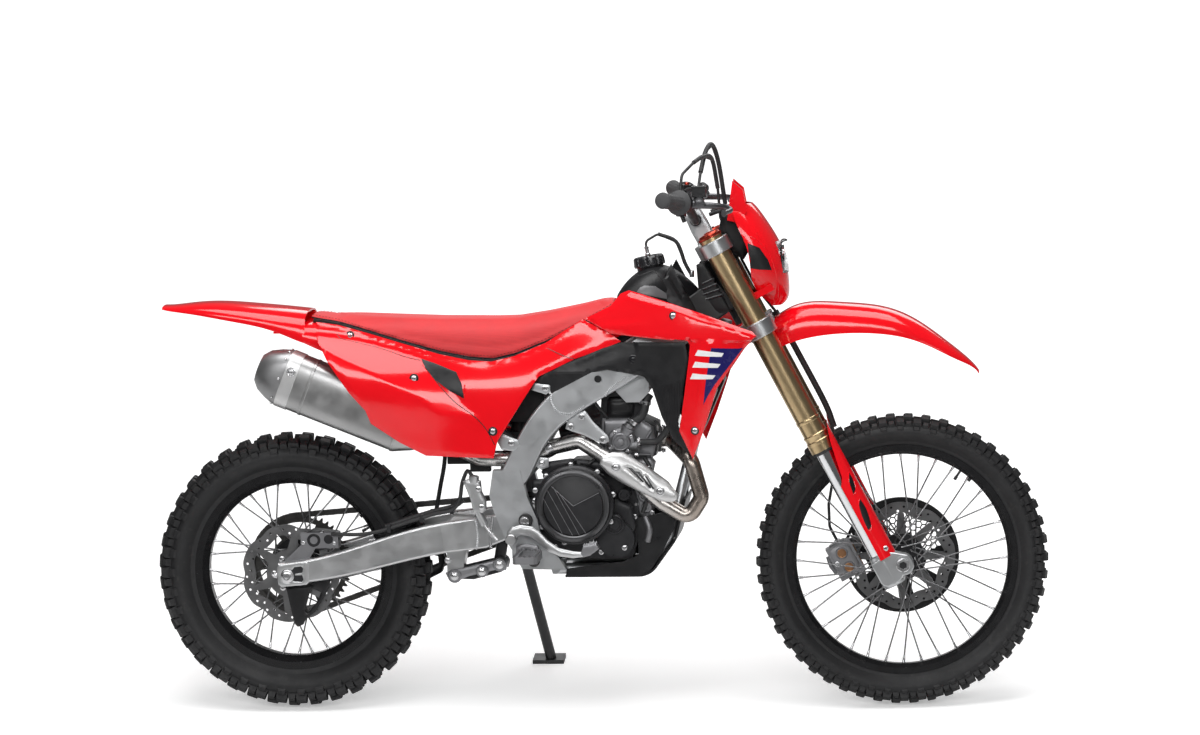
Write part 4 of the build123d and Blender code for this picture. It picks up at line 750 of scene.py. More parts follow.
# ------------------------------------------------ chain and sprockets
PITCH, REAR_TEETH, FRONT_TEETH = 15.875, 48, 13
REAR_PITCH = REAR_TEETH * PITCH / (2 * math.pi)
FRONT_PITCH = FRONT_TEETH * PITCH / (2 * math.pi)
CHAIN_Y, SPROCKET = 76.0, (655.0, 478.0)
SPROCKET_LOW, SPROCKET_HIGH = 73.2, 78.8
INNER_LINK, OUTER_LINK, LINK_THICK, LINK_HALF = 4.6, 7.0, 1.8, 6.6
ROLLER, PIN, PIN_HALF = 5.0, 2.6, 9.0


def toothed(teeth, pitch_radius, cutouts, bore, low, high, centre):
    """A sprocket with teeth and with holes that lighten it."""
    outline = []
    for i in range(teeth):
        for share, grow in ((0.0, -5.2), (0.2, -4.4), (0.36, 2.5), (0.5, 5.0), (0.64, 2.5), (0.8, -4.4)):
            a = 2 * math.pi * (i + share) / teeth
            outline.append(polar(pitch_radius + grow, a))
    part = plate([outline, *cutouts, circle(0, 0, bore, 48)], low, high)
    return moved(part, Matrix.Translation(centre))


slots = []
for i in range(6):
    a0 = 2 * math.pi * i / 6 + 0.14
    a1 = a0 + 2 * math.pi / 6 - 0.28
    arc = np.linspace(a0, a1, 9)
    slots.append([polar(104, a) for a in arc] + [polar(76, a) for a in arc[::-1]])
add("rear_sprocket_teeth",
    [toothed(REAR_TEETH, REAR_PITCH, slots, 53, SPROCKET_LOW, SPROCKET_HIGH, (0, 0, 0))], CHAIN,
    slot="bright_steel", body="rear_wheel", matrix=REAR_WHEEL, replaces=["rear_sprocket"], bevel=0.6)
add("rear_sprocket_bolts", [ring_of(bolt((62, 79, 0), (0, 1, 0), 6, 5), 6, start=0.5)], STEEL,
    body="rear_wheel", matrix=REAR_WHEEL)
add("front_sprocket_teeth",
    [toothed(FRONT_TEETH, FRONT_PITCH, [], 9, SPROCKET_LOW, SPROCKET_HIGH, (SPROCKET[0], 0, SPROCKET[1])),
     bolt((SPROCKET[0], 79, SPROCKET[1]), (0, 1, 0), 11, 6)], CHAIN)


def chain_path():
    """The chain's pitch line, sampled at one point for each pin."""
    cr, cf = array((0, REAR_RADIUS)), array(SPROCKET)
    gap = cf - cr
    length = np.linalg.norm(gap)
    base = math.atan2(gap[1], gap[0])
    lean = math.acos((REAR_PITCH - FRONT_PITCH) / length)
    points = []
    for centre, radius, start, end in ((cr, REAR_PITCH, base + lean, base + 2 * math.pi - lean),
                                       (cf, FRONT_PITCH, base - lean, base + lean)):
        for a in np.linspace(start, end, max(12, int(radius * abs(end - start) / 2))):
            points.append(centre + radius * array((math.cos(a), math.sin(a))))
    points.append(points[0])
    points = array(points)
    run = np.concatenate([[0], np.cumsum(np.linalg.norm(np.diff(points, axis=0), axis=1))])
    count = 2 * round(run[-1] / PITCH / 2)
    marks = np.linspace(0, run[-1], count, endpoint=False)
    return np.column_stack([np.interp(marks, run, points[:, k]) for k in (0, 1)])


def link_plate(a, b, low, high, wide):
    """One side plate of a link between two pins, waisted in the middle."""
    along = (b - a) / np.linalg.norm(b - a)
    side = array((-along[1], along[0]))
    points = []
    for centre, sign in ((a, -1), (b, 1)):
        for turn in np.linspace(-1.9, 1.9, 7):
            way = along * sign * math.cos(turn) + side * sign * math.sin(turn)
            points.append(tuple(centre + way * wide))
    return prism(points, low, high)


pins = chain_path()
links = []
for i, (a, b) in enumerate(zip(pins, np.roll(pins, -1, axis=0))):
    inner = i % 2
    for side in (-1, 1):
        y0 = CHAIN_Y + side * (INNER_LINK if inner else OUTER_LINK)
        links.append(link_plate(a, b, *sorted((y0, y0 + side * LINK_THICK)), LINK_HALF))
    for radius, half, sides in ((ROLLER, INNER_LINK, 10), (PIN, PIN_HALF, 8)):
        links.append(turned_y([(radius, -half), (radius, half)], (a[0], CHAIN_Y, a[1]), sides))
add("chain_links", links, CHAIN, replaces=["chain"])

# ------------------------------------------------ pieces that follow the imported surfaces
TREES = {}


def face_of(node, side=-1, matrix=Matrix.Identity(4)):
    """How far out a CAD node reaches at (x, z), by a ray cast inward along Y."""
    if (node, matrix is STEER) not in TREES:
        mesh = frame["nodes"][node].data
        back = (PLACE_MM @ matrix).inverted()
        TREES[node, matrix is STEER] = BVHTree.FromPolygons(
            [back @ v.co for v in mesh.vertices], [tuple(p.vertices) for p in mesh.polygons])
    tree = TREES[node, matrix is STEER]

    def height(x, z):
        hit = tree.ray_cast(Vector((x, side * 500, z)), Vector((0, -side, 0)), 500)[0]
        return hit.y if hit else None

    return height


def ring_points(points, step):
    """An outline with extra points along its sides."""
    out = []
    for (ax, az), (bx, bz) in zip(points, points[1:] + points[:1]):
        count = max(1, round(math.hypot(bx - ax, bz - az) / step))
        out += [(ax + (bx - ax) * i / count, az + (bz - az) * i / count) for i in range(count)]
    return out


def rim_distance(x, z, loops):
    """The distance from points to the nearest side of any loop, and whether they are inside."""
    x, z = array(x), array(z)
    best = np.full(len(x), 1e9)
    within = np.zeros(len(x), dtype=bool)
    for loop in loops:
        for (ax, az), (bx, bz) in zip(loop, loop[1:] + loop[:1]):
            dx, dz = bx - ax, bz - az
            t = np.clip(((x - ax) * dx + (z - az) * dz) / (dx * dx + dz * dz + 1e-9), 0, 1)
            best = np.minimum(best, np.hypot(x - ax - t * dx, z - az - t * dz))
            if az != bz:
                crosses = (az > z) != (bz > z)
                within ^= crosses & (x < ax + (z - az) * dx / dz)
    return best, within


def inner_row(loops, gap):
    """Points a gap inside every loop, so that a rolled edge runs even."""
    out = []
    for loop in loops:
        for (ax, az), (x, z), (bx, bz) in zip(loop[-1:] + loop[:-1], loop, loop[1:] + loop[:1]):
            long = math.hypot(bx - ax, bz - az) or 1
            nx, nz = -(bz - az) / long * gap, (bx - ax) / long * gap
            out += [(x + nx, z + nz), (x - nx, z - nz)]
    away, within = rim_distance([p[0] for p in out], [p[1] for p in out], loops)
    return [p for p, d, ok in zip(out, away, within) if ok and d > 0.85 * gap]


def eased(values, tris, turns):
    """Values of a triangle mesh's points, each drawn halfway to its neighbours' mean in every turn."""
    pairs = np.array([(t[i], t[j]) for t in tris for i in range(3) for j in range(3) if i != j])
    for _ in range(turns):
        total = np.bincount(pairs[:, 0], values[pairs[:, 1]], len(values))
        values = (values + total / np.bincount(pairs[:, 0], minlength=len(values))) / 2
    return values


def sheet(outline, height, proud, thick=2.0, cell=8.0, side=-1, holes=(), ease=0):
    """A plate over the outline in x, z. Its face lies proud(x, z, edge) outside height(x, z)."""
    loops = [ring_points(loop, cell) for loop in (outline, *holes)]
    flat = [p for loop in loops for p in loop]
    xs, zs = [p[0] for p in flat], [p[1] for p in flat]
    gx, gz = np.meshgrid(np.arange(min(xs), max(xs), cell), np.arange(min(zs), max(zs), cell * 0.866))
    gx = gx + (np.arange(gx.shape[0]) % 2)[:, None] * cell / 2
    gx, gz = gx.ravel(), gz.ravel()
    away, within = rim_distance(gx, gz, loops)
    keep = within & (away > 0.9 * cell)
    row = inner_row(loops, 0.4 * cell)
    flat += row + list(zip(gx[keep], gz[keep]))
    edges, start = [], 0
    for loop in loops:
        edges += [(start + i, start + (i + 1) % len(loop)) for i in range(len(loop))]
        start += len(loop)
    points, _, tris = delaunay_2d_cdt([Vector(p) for p in flat], edges, [], 0, 1e-4)[:3]
    px, pz = [p.x for p in points], [p.y for p in points]
    away, _ = rim_distance(px, pz, loops)
    mid = [sum(px[i] for i in t) / 3 for t in tris], [sum(pz[i] for i in t) / 3 for t in tris]
    _, inner = rim_distance(*mid, loops)
    tris = [tuple(t) for t, ok in zip(tris, inner) if ok]
    base = [height(x, z) for x, z in zip(px, pz)]
    known = [i for i, y in enumerate(base) if y is not None]
    where = array([(px[i], pz[i]) for i in known])
    for i, y in enumerate(base):
        if y is None:
            near = np.argmin(np.hypot(where[:, 0] - px[i], where[:, 1] - pz[i]))
            base[i] = base[known[near]]
    if ease:
        base = eased(array(base), tris, ease)
    front = [y + side * proud(x, z, d) for x, z, d, y in zip(px, pz, away, base)]
    n = len(px)
    verts = list(zip(px, front, pz)) + [(x, y - side * thick, z) for x, y, z in zip(px, front, pz)]
    count = {}
    for t in tris:
        for a, b in ((t[0], t[1]), (t[1], t[2]), (t[2], t[0])):
            count[a, b] = 1
    faces = tris + [tuple(i + n for i in t)[::-1] for t in tris]
    faces += [(b, a, a + n, b + n) for a, b in count if (b, a) not in count]
    return array(verts), faces


def rolled(depth=2.5, reach=7.0, base=0.0, crown=0.0, width=60.0):
    """A face with a rolled edge, and with a crown that rises towards its middle."""
    def proud(x, z, d):
        edge = depth * (1 - min(d / reach, 1)) ** 2
        return base - edge + crown * (1 - (1 - min(d / width, 1)) ** 2)
    return proud


def level(y):
    """A flat surface."""
    return lambda x, z: y


def outside(height, proud):
    """The outer face of a skin over height, away from its edges."""
    def face(x, z):
        y = height(x, z)
        return None if y is None else y - proud(x, z, 20)

    return face


def or_else(height, y):
    """The same surface, with y where it has none."""
    def face(x, z):
        found = height(x, z)
        return y if found is None else found

    return face


def line_on(height, points, radius=0.8, side=-1, lift=0.0, sides=8):
    """A thin bead along a line on a surface."""
    path = smooth([(x, 0, z) for x, z in points], 6)
    path = [(x, height(x, z), z) for x, _, z in path]
    path = [(x, y + side * lift, z) for x, y, z in path if y is not None]
    return tube(path, radius, sides)


def at(height, x, z):
    """The surface at x, z, or the nearest place round it that has one."""
    for reach in (0, 3, 6, 10, 15, 22, 30):
        for turn in range(8):
            a = turn * math.pi / 4
            y = height(x + reach * math.cos(a), z + reach * math.sin(a))
            if y is not None:
                return y
    return None


def stud(height, x, z, radius=5.0, tall=3.5, kind="socket", side=-1, washer=0.0):
    """A bolt on a surface at x, z, with the washer or cup it sits in."""
    y = at(height, x, z)
    head = bolt((x, y + side * 0.4, z), (0, side, 0), radius, tall, kind)
    if not washer:
        return head
    cup = lathe([(washer, -2), (washer, 0.8), (washer - 1.4, 1.4), (washer - 2.6, 0.7), (radius, 0.5)],
                28)
    return merge(head, moved(cup, aim((x, y, z), (0, side, 0))))


def cup(height, x, z, outer, inner, side=-1, tall=1.4):
    """The raised ring that a screw sits in."""
    part = lathe([(outer, -2), (outer, tall * 0.6), (outer - 1.4, tall), (inner + 1, tall), (inner, 0.2)],
                 32)
    return moved(part, aim((x, at(height, x, z), z), (0, side, 0)))


def line(*points):
    """A line of straight pieces through the points, as a function of its first value."""
    xs, zs = [p[0] for p in points], [p[1] for p in points]
    return lambda x: float(np.interp(x, xs, zs))

# ------------------------------------------------ bodywork
panel_face = face_of("side_panels")
RIDGE = line((95, 914), (188, 899), (248, 881), (308, 864), (347, 853), (390, 807), (461, 740),
             (530, 690))
PANEL_TOP = line((88, 952), (140, 944), (294, 898), (385, 872), (457, 857), (512, 853), (567, 865),
                 (640, 894))
FOLD = line((88, 900), (103, 895), (341, 772), (388, 735), (461, 728), (530, 700))


def panel_proud(x, z, d):
    """The side panel's sculpture: a groove under the seat, a ridge, a broad facet and a turned-in foot."""
    ridge, top, fold = RIDGE(x), PANEL_TOP(x), FOLD(x)
    fade = min(max((500 - x) / 120, 0), 1)
    low = min(fold, ridge - 4)
    value = np.interp(z,
                      [low - 140, low - 50, low, ridge, ridge + 3, (ridge + top) / 2,
                       max(top - 12, ridge + 6), top], [-8, 2, 7, -4, -5.0, -4.6, -3.4, -2.6])
    return float(value) * fade - 1.6 * (1 - min(d / 11, 1)) ** 2


SIDE_OUTLINE = [(88, 952), (88, 917), (121, 856), (173, 783), (209, 742), (221, 710), (288, 664),
                (351, 631), (514, 623), (524, 664), (611, 797), (625, 816), (651, 828), (711, 856),
                (772, 876), (824, 897), (798, 915), (730, 949), (640, 894), (567, 865), (512, 853),
                (457, 857), (385, 872), (294, 898), (140, 944)]
panel = sheet(SIDE_OUTLINE, panel_face, panel_proud, 3.4, 7.5, ease=10)


def bosses(height, places, radius=8.5):
    """Pegs from a skin's inner side to the pieces that carry it: places are (x, z, y)."""
    tops = [at(height, x, z) for x, z, _ in places]
    return [tube([(x, top + 2, z), (x, (top + y) / 2, z), (x, y, z)], radius, 20)
            for (x, z, y), top in zip(places, tops)]


add("side_panel_skins", [both(merge(panel, *bosses(panel_face, [(514, 688, -92.6), (330, 820, -82.2)])))],
    RED, replaces=["side_panels"], angle=24)


on_panel = outside(panel_face, panel_proud)

VENT = [(343, 862), (384, 848), (428, 830), (441, 803), (447, 768), (414, 786), (380, 812), (353, 842)]
add("side_vents", [both(sheet(VENT, on_panel, rolled(0.6, 3, 2.4), 3.0, 5))], BLACK)
add("side_vent_lips",
    [both(line_on(on_panel, [(347, 849), (384, 812), (417, 786), (445, 769), (449, 800)], 1.7))], RED)
add("side_panel_seams",
    [both(line_on(on_panel, points, 0.8, lift=0.35))
     for points in ([(367, 826), (419, 766), (474, 722), (500, 690), (518, 655)],
                    [(128, 938), (136, 924), (146, 912)],
                    [(146, 912), (200, 898), (247, 886), (300, 868), (340, 858)],
                    [(640, 884), (690, 862), (716, 856)])], GLOSS_BLACK)
screws = [(169, 918), (328, 818), (514, 688)]
add("side_panel_screws", [both(stud(on_panel, x, z, 5.0, 3.4)) for x, z in screws], STEEL)
add("side_panel_cups", [both(cup(on_panel, x, z, 11, 6.4)) for x, z in screws], BLACK)

shroud_face = face_of("shrouds")
SHROUD_OUTLINE = [(735, 950), (800, 916), (877, 909), (989, 902), (994, 894), (991, 861), (978, 776),
                  (963, 687), (995, 621), (1023, 691), (1046, 757), (1057, 791), (1118, 878), (1153, 916),
                  (1143, 926), (1071, 951), (1020, 968), (951, 989), (879, 1009), (844, 1018),
                  (824, 1010), (799, 981)]
CREASE = line((735, 940), (844, 1004), (949, 980), (1022, 951), (1071, 940), (1153, 912))
SPINE = line((600, 985), (700, 1002), (800, 1016), (900, 1044), (960, 1100))


def shroud_proud(x, z, d):
    """The shroud's sculpture: a bevelled top, rolled edges and a spine down to its point."""
    over = max(z - CREASE(x), 0) if x > 800 else 0
    value = -0.5 * over
    if z < 905:
        spine = SPINE(z)
        value += 2.5 - 0.16 * abs(x - spine) if x > 955 else 0
    if x < 900:
        value += 3.0 * max(1 - abs(z - (925 + (x - 735) * 0.10)) / 16, 0) * min((900 - x) / 60, 1)
    return value - 3.2 * (1 - min(d / 7, 1)) ** 2


shroud = sheet(SHROUD_OUTLINE, shroud_face, shroud_proud, 3.4, 7.5)
add("shroud_skins",
    [both(merge(shroud, *bosses(shroud_face, [(1006, 694, -164.3), (1020, 850, -164.3)])))], RED,
    replaces=["shrouds"], angle=24)


on_shroud = outside(shroud_face, shroud_proud)

add("shroud_blue_panels",
    [both(sheet([(1046, 888), (1110, 886), (1122, 888), (1052, 800), (1036, 775), (1024, 752),
                 (1030, 800)], on_shroud, rolled(0.15, 2, 0.35), 0.5, 7))], BLUE)
SLASHES = [[(1014, 883), (1076, 876), (1071, 867), (1006, 869)],
           [(1007, 855), (1068, 850), (1061, 841), (999, 841)],
           [(1000, 827), (1055, 823), (1048, 814), (993, 813)]]
add("shroud_white_bars", [both(sheet(bar, on_shroud, rolled(0.1, 2, 0.60), 0.6, 6)) for bar in SLASHES],
    WHITE)
add("shroud_screws", [both(stud(on_shroud, x, z, 5.0, 3.4)) for x, z in ((955, 962), (1002, 690))], STEEL)
add("shroud_cups", [both(cup(on_shroud, x, z, 10, 6.2)) for x, z in ((955, 962), (1002, 690))], DARK_CAST,
    slot="shock_metal")

inner_face = face_of("inner_panels")
INNER_OUTLINE = [(616, 802), (630, 819), (664, 835), (722, 858), (776, 880), (825, 895), (980, 898),
                 (987, 858), (971, 771), (960, 702), (985, 632), (947, 664), (920, 719), (898, 786),
                 (878, 814), (790, 830), (752, 824), (654, 774)]
INNER_RIDGE = line((600, 975), (647, 962), (710, 932), (758, 913), (801, 899), (825, 868), (850, 760),
                   (870, 640))


def inner_proud(x, z, d):
    """The inner panel's rolled edge, and its fall behind the ridge."""
    behind = INNER_RIDGE(z) - x if z < 825 else 0
    return -1.5 * (1 - min(d / 5, 1)) ** 2 - (min(max(behind, 0), 14) * 0.35)


on_inner = outside(inner_face, inner_proud)

inner = sheet(INNER_OUTLINE, inner_face, inner_proud, 3.4, 7.5)
ribs = []
for i in range(8):
    x = 925 + 6.5 * i
    low = 716 - (x - 925) * 1.35
    ribs.append(line_on(on_inner, [(x, low), (x + 1, (low + 800) / 2), (x + 2, 790 + 3 * i)], 0.9,
                        lift=-0.2))
add("inner_panel_skins", [both(merge(inner, *ribs, *bosses(inner_face, [(766, 808, -122.3)])))], BLACK,
    replaces=["inner_panels"], angle=24)
add("inner_panel_plugs",
    [both(cup(on_inner, 853, 855, 11, 7, tall=1.0)), both(stud(on_inner, 853, 855, 4.2, 2.0))],
    GLOSS_BLACK)
tank_face = face_of("fuel_tank")
add("tank_side_panels",
    [both(sheet([(861, 1012), (868, 1022), (880, 1027), (905, 1025), (938, 1000), (940, 990),
                 (905, 1000)], tank_face, rolled(0.6, 4, 0.8), 1.2, 5))], GREY_PLASTIC)
add("tank_ridges",
    [both(line_on(tank_face, [(862, 1046), (900, 1058), (918, 1040), (965, 1003), (1000, 975)], 2.2,
                  lift=-1.2, sides=12))], BLACK)
CAP_BASE, CAP_WAY = Vector((890, 0, 1036)), Vector((-0.17, 0, 0.985)).normalized()


def lobes(a, r, h):
    """The grip notches round the tank's cap."""
    return -3.2 * max(0.0, math.cos(9 * a)) ** 6 if r > 30 and 34 < h < 52 else 0.0


cap = lathe([(0.01, 30.4), (37, 30.4), (38, 33), (38, 36), (37.4, 44), (36.6, 51), (33, 54.5), (24, 55),
             (22, 52.6), (8, 52.6), (7.4, 55), (0.01, 55)], 108, wobble=lobes)
add("tank_cap", [moved(cap, aim(CAP_BASE, CAP_WAY))], GLOSS_BLACK, replaces=["fuel_cap"])
add("breather_fitting",
    [barrel(CAP_BASE, CAP_WAY,
            [(6.5, 54), (6.5, 60), (4.6, 62), (4.6, 72), (5.4, 73), (5.4, 77), (3.2, 78)], 20),
     barrel((984, 14, 1036), (0, 0, 1), [(5.5, 0), (5.8, 3), (5.8, 14), (5.2, 16)], 18)], STEEL)

LOUVRE = [(1000, 1070), (1018, 1080), (1040, 1040), (1081, 958), (1046, 950), (1018, 968), (1004, 1010)]


def louvre_face(x, z):
    """The cover beside the steering head."""
    return -46 - 0.05 * (x - 1000)


add("head_side_covers", [both(sheet(LOUVRE, louvre_face, rolled(2.0, 7, 0.0, 1.5, 25), 3.0, 6))], BLACK)
bars = []
for i in range(4):
    z = 982 + 13 * i
    x0, x1 = 1012, 1064 - 6.6 * i
    bars.append(sheet([(x0, z), (x1, z + 14), (x1 - 2, z + 19), (x0, z + 5)], louvre_face,
                      rolled(0.4, 2, 3.4), 3, 4))
add("head_cover_louvres", [both(merge(*bars))], GLOSS_BLACK)

# ------------------------------------------------ seat cushion
SEAT_ROWS = [(62, 64, 956, 969, 2.6), (140, 80, 944, 961, 2.8), (294, 90, 897, 954, 3.2),
             (385, 92, 871, 950, 3.4), (457, 92, 856, 949, 3.4), (512, 91, 852, 948, 3.4),
             (567, 88, 864, 949, 3.3), (640, 82, 892, 960, 3.0), (723, 72, 932, 976, 2.8),
             (803, 56, 974, 995, 2.6)]


def seat_row(x):
    """The cushion's half width, lower and upper edge and squareness at x."""
    xs = [row[0] for row in SEAT_ROWS]
    return [float(np.interp(x, xs, [row[k] for row in SEAT_ROWS])) for k in range(1, 5)]


def seat_block(inset):
    """The cushion as a closed form, inset from the space that the frame holds for it."""
    stations = np.linspace(62 + inset, 803 - inset, 61)
    sides, verts, faces = 28, [], []
    for x in stations:
        half, low, high, square = seat_row(x)
        half, low, high = half - inset, low + 0.4, high - inset * 0.7
        ends = min((x - 58) / 16, (807 - x) / 16, 1) ** 0.5
        for i in range(sides):
            a = math.pi * i / (sides - 1)
            y = -math.copysign(abs(math.cos(a)) ** (2 / square), math.cos(a))
            z = abs(math.sin(a)) ** (2 / square)
            verts.append((x, half * y * (0.75 + 0.25 * ends),
                          low + (high - low) * z * (0.6 + 0.4 * ends)))
    for r in range(len(stations) - 1):
        for i in range(sides):
            j = (i + 1) % sides
            faces.append((r * sides + i, r * sides + j, (r + 1) * sides + j, (r + 1) * sides + i))
    last = (len(stations) - 1) * sides
    faces += [tuple(range(sides)), tuple(range(last, last + sides))[::-1]]
    return array(verts), faces


VOXEL = 0.0055  # the cushion's even mesh, in metres
BASE_HEIGHT = 7  # what is held of the cushion above its lower edge, in millimetres
PRESSURE, STIFFNESS = 4, 12
SWELL = 0.004  # how far a point of the cushion may move, in metres


def settle(obj, cap, frames=20):
    """Inflates a cushion as cloth, keeps each point within cap of where it started, and fixes it."""
    bpy.context.view_layer.objects.active = obj
    obj.modifiers.clear()
    remesh = obj.modifiers.new("even", "REMESH")
    remesh.mode, remesh.voxel_size = "VOXEL", VOXEL
    graph = bpy.context.evaluated_depsgraph_get()
    mesh = bpy.data.meshes.new_from_object(obj.evaluated_get(graph))
    obj.modifiers.clear()
    material = obj.data.materials[0]
    obj.data = mesh
    mesh.materials.clear()
    mesh.materials.append(material)
    start = coordinates(mesh)
    local = upright(start)
    floor = np.interp(local[:, 0], [row[0] for row in SEAT_ROWS], [row[2] for row in SEAT_ROWS])
    held = obj.vertex_groups.new(name="held")
    held.add([int(i) for i in np.nonzero(local[:, 2] < floor + BASE_HEIGHT)[0]], 1.0, "REPLACE")
    cloth = obj.modifiers.new("cloth", "CLOTH")
    cloth.settings.use_pressure = True
    cloth.settings.uniform_pressure_force = PRESSURE
    cloth.settings.effector_weights.gravity = 0
    cloth.settings.vertex_group_mass = "held"
    cloth.settings.tension_stiffness = cloth.settings.compression_stiffness = STIFFNESS
    scene = bpy.context.scene
    for number in range(1, frames + 1):
        scene.frame_set(number)
    graph = bpy.context.evaluated_depsgraph_get()
    swollen = bpy.data.meshes.new_from_object(obj.evaluated_get(graph))
    step = coordinates(swollen) - start
    length = np.linalg.norm(step, axis=1)[:, None]
    end = start + step * np.minimum(1, cap / np.maximum(length, 1e-9))
    obj.modifiers.clear()
    mesh.vertices.foreach_set("co", end.ravel())
    mesh.update()
    scene.frame_set(1)
    mesh.shade_smooth()
    soft = obj.modifiers.new("smooth", "SUBSURF")
    soft.levels = soft.render_levels = 1
    ease = obj.modifiers.new("ease", "SMOOTH")
    ease.factor, ease.iterations = 0.5, 4


cushion = add("seat_cover", [seat_block(3.0)], SEAT_CLOTH, replaces=["seat_cushion"], angle=180)
settle(cushion, SWELL)


def seat_edge(side, rise, out, x0=70, x1=795):
    """A line round the cushion's side, rise above its lower edge."""
    points = []
    for x in np.linspace(x0, x1, 60):
        half, low, high, square = seat_row(x)
        share = min(rise / max(high - low, 1), 1)
        across = (1 - share ** square) ** (1 / square)
        points.append((x, side * (half * across + out), low + rise))
    return points


piping = [tube(seat_edge(side, 4.0, 0.2), 1.8, 10) for side in (-1, 1)]
add("seat_base_lips",
    [tube([(x, y - side * 9, z - 6) for x, y, z in seat_edge(side, 2, 0, 74, 790)], 7, 14)
     for side in (-1, 1)], BLACK)
add("seat_piping", piping, GLOSS_BLACK, slot="seat_cover")
stitches = []
for side in (-1, 1):
    row = smooth(seat_edge(side, 10, -0.1), 4)
    for a, b in zip(row[::2], row[1::2]):
        stitches.append(tube([a, (a + b) / 2 + (0, side * 0.5, 0), b], 0.5, 6))
add("seat_stitches", stitches, THREAD)

# ------------------------------------------------ engine
CLUTCH, CLUTCH_CENTRE = (703, 507), (703, 0, 507)
SMALL_COVER = (797, 0, 457)
COVER_EARS = [polar(96, 2 * math.pi * (i + 0.35) / 9, *CLUTCH) for i in range(9)]


def clutch_cover():
    """The round cover with its raised V and the ears of its bolts."""
    ring = [(93, -112), (95, -116), (95, -138), (92, -142), (88.6, -144), (87.6, -152), (86, -156),
            (82, -158.6), (77.5, -158.9), (73.5, -156.6), (72.2, -153.6), (71.6, -146)]
    parts = [turned_y(ring, CLUTCH_CENTRE, 96)]
    turns = np.radians(np.linspace(137, 386.6, 60))
    face = [CLUTCH] + [polar(70.6, t, *CLUTCH) for t in turns]
    parts.append(prism(face, -156.0, -151))
    for x, z in COVER_EARS:
        parts.append(turned_y([(8, -112), (8.4, -114), (8.4, -126), (7, -128), (0.01, -128)], (x, 0, z),
                              20))
    return parts


add("clutch_cover", clutch_cover(), DARK_CAST, bevel=0.7)
add("clutch_cover_ring",
    [turned_y([(88.9, -146), (88, -153), (86, -157.2), (80.5, -159.6), (76, -159.4), (73.0, -157)],
              CLUTCH_CENTRE, 96, True)], RING_METAL)
# The floor seen in the V notch takes the lighter metal: painted light, so that the recessed V shows.
add("clutch_cover_floor_painted_light", [turned_y([(71.8, -138), (71.8, -151), (0.01, -151)], CLUTCH_CENTRE, 72)],
    PAINTED_LIGHT_V_FLOOR)
# Lighter beads on the cover: the two along the edges of the V notch are painted highlights where those
# edges would catch the light; four more lighter straight lines cross the cover's rear half.
highlight_and_chord_lines = [tube([(CLUTCH[0] + r * math.cos(a), -156.0, CLUTCH[1] + r * math.sin(a))
                for r in (0, 35, 70.5)], 0.9, 6) for a in np.radians((137, 26.6))]
for x0, z0, x1, z1 in ((626, 538, 677, 437), (642, 545, 700, 436), (656, 553, 716, 437),
                       (669, 540, 732, 441)):
    middle = ((x0 + x1) / 2, (z0 + z1) / 2)
    highlight_and_chord_lines.append(tube([(x, -156.1, z) for x, z in ((x0, z0), middle, (x1, z1))], 0.8, 6))
add("clutch_cover_highlights_and_chords", highlight_and_chord_lines, CAST)
cover_bolts = [bolt((x, -128, z), OUT, 4.6, 5) for x, z in COVER_EARS]
case_face = face_of("engine")
for x, z in ((822, 528), (820, 400), (764, 574), (612, 545), (842, 470), (650, 398), (760, 385)):
    cover_bolts.append(stud(case_face, x, z, 4.8, 5, "hex"))
add("case_bolts", cover_bolts, STEEL)

small = [turned_y([(24, -112), (24, -121), (21, -124), (19, -124), (18.4, -120), (14, -120), (13.4, -123),
                   (0.01, -123)], SMALL_COVER, 48),
         turned_y([(15, -84), (15, -119), (13, -122), (10, -122), (9.4, -118), (0.01, -118)],
                  (822, 0, 528), 36),
         sheet([(768, 500), (800, 520), (838, 500), (846, 452), (830, 404), (780, 396), (752, 420)],
               level(-106), rolled(4, 8, 0, 2, 20), 22, 7),
         sheet([(600, 562), (646, 566), (650, 540), (640, 505), (606, 500), (596, 530)], level(-104),
               rolled(3, 6, 0, 1, 15), 20, 6),
         sheet([(628, 604), (690, 612), (760, 606), (800, 585), (790, 566), (700, 600), (640, 560),
                (620, 580)], level(-92), rolled(3, 6, 0, 1, 15), 10, 6)]
add("side_covers", small, DARK_CAST, bevel=0.4)
add("cover_badge_ring",
    [turned_y([(17.6, -121), (17.6, -124.6), (14.4, -124.6), (14.2, -121)], SMALL_COVER, 40, True)],
    BLACK_METAL, slot="engine_metal")


HEAD = [(758, 606), (764, 690), (768, 706), (858, 706), (890, 684), (896, 640), (886, 606)]
head = [sheet(HEAD, level(-66), rolled(4, 9, 0, 2, 25), 8, 7),
        sheet([(776, 640), (790, 676), (838, 676), (858, 650), (846, 618), (790, 616)], level(-72),
              rolled(5, 9, 0, 3, 20), 8, 6)]
for x0, z0, x1, z1 in ((766, 618, 884, 618), (768, 634, 770, 700), (862, 640, 886, 676)):
    head.append(tube([(x0, -70, z0), ((x0 + x1) / 2, -71, (z0 + z1) / 2), (x1, -70, z1)], 3.4, 10))
add("cylinder_head", head, CAST)
add("head_cover",
    [sheet([(775, 706), (777, 750), (784, 760), (838, 762), (850, 735), (846, 706)], level(-64),
           rolled(5, 10, 0, 3, 25), 8, 6),
     sheet([(786, 716), (788, 746), (832, 748), (840, 718)], level(-68), rolled(2, 5, 0, 0.5, 10), 4, 6),
     brick((812, -58, 768), (66, 60, 14))], BLACK, slot="engine_metal", bevel=1.2)


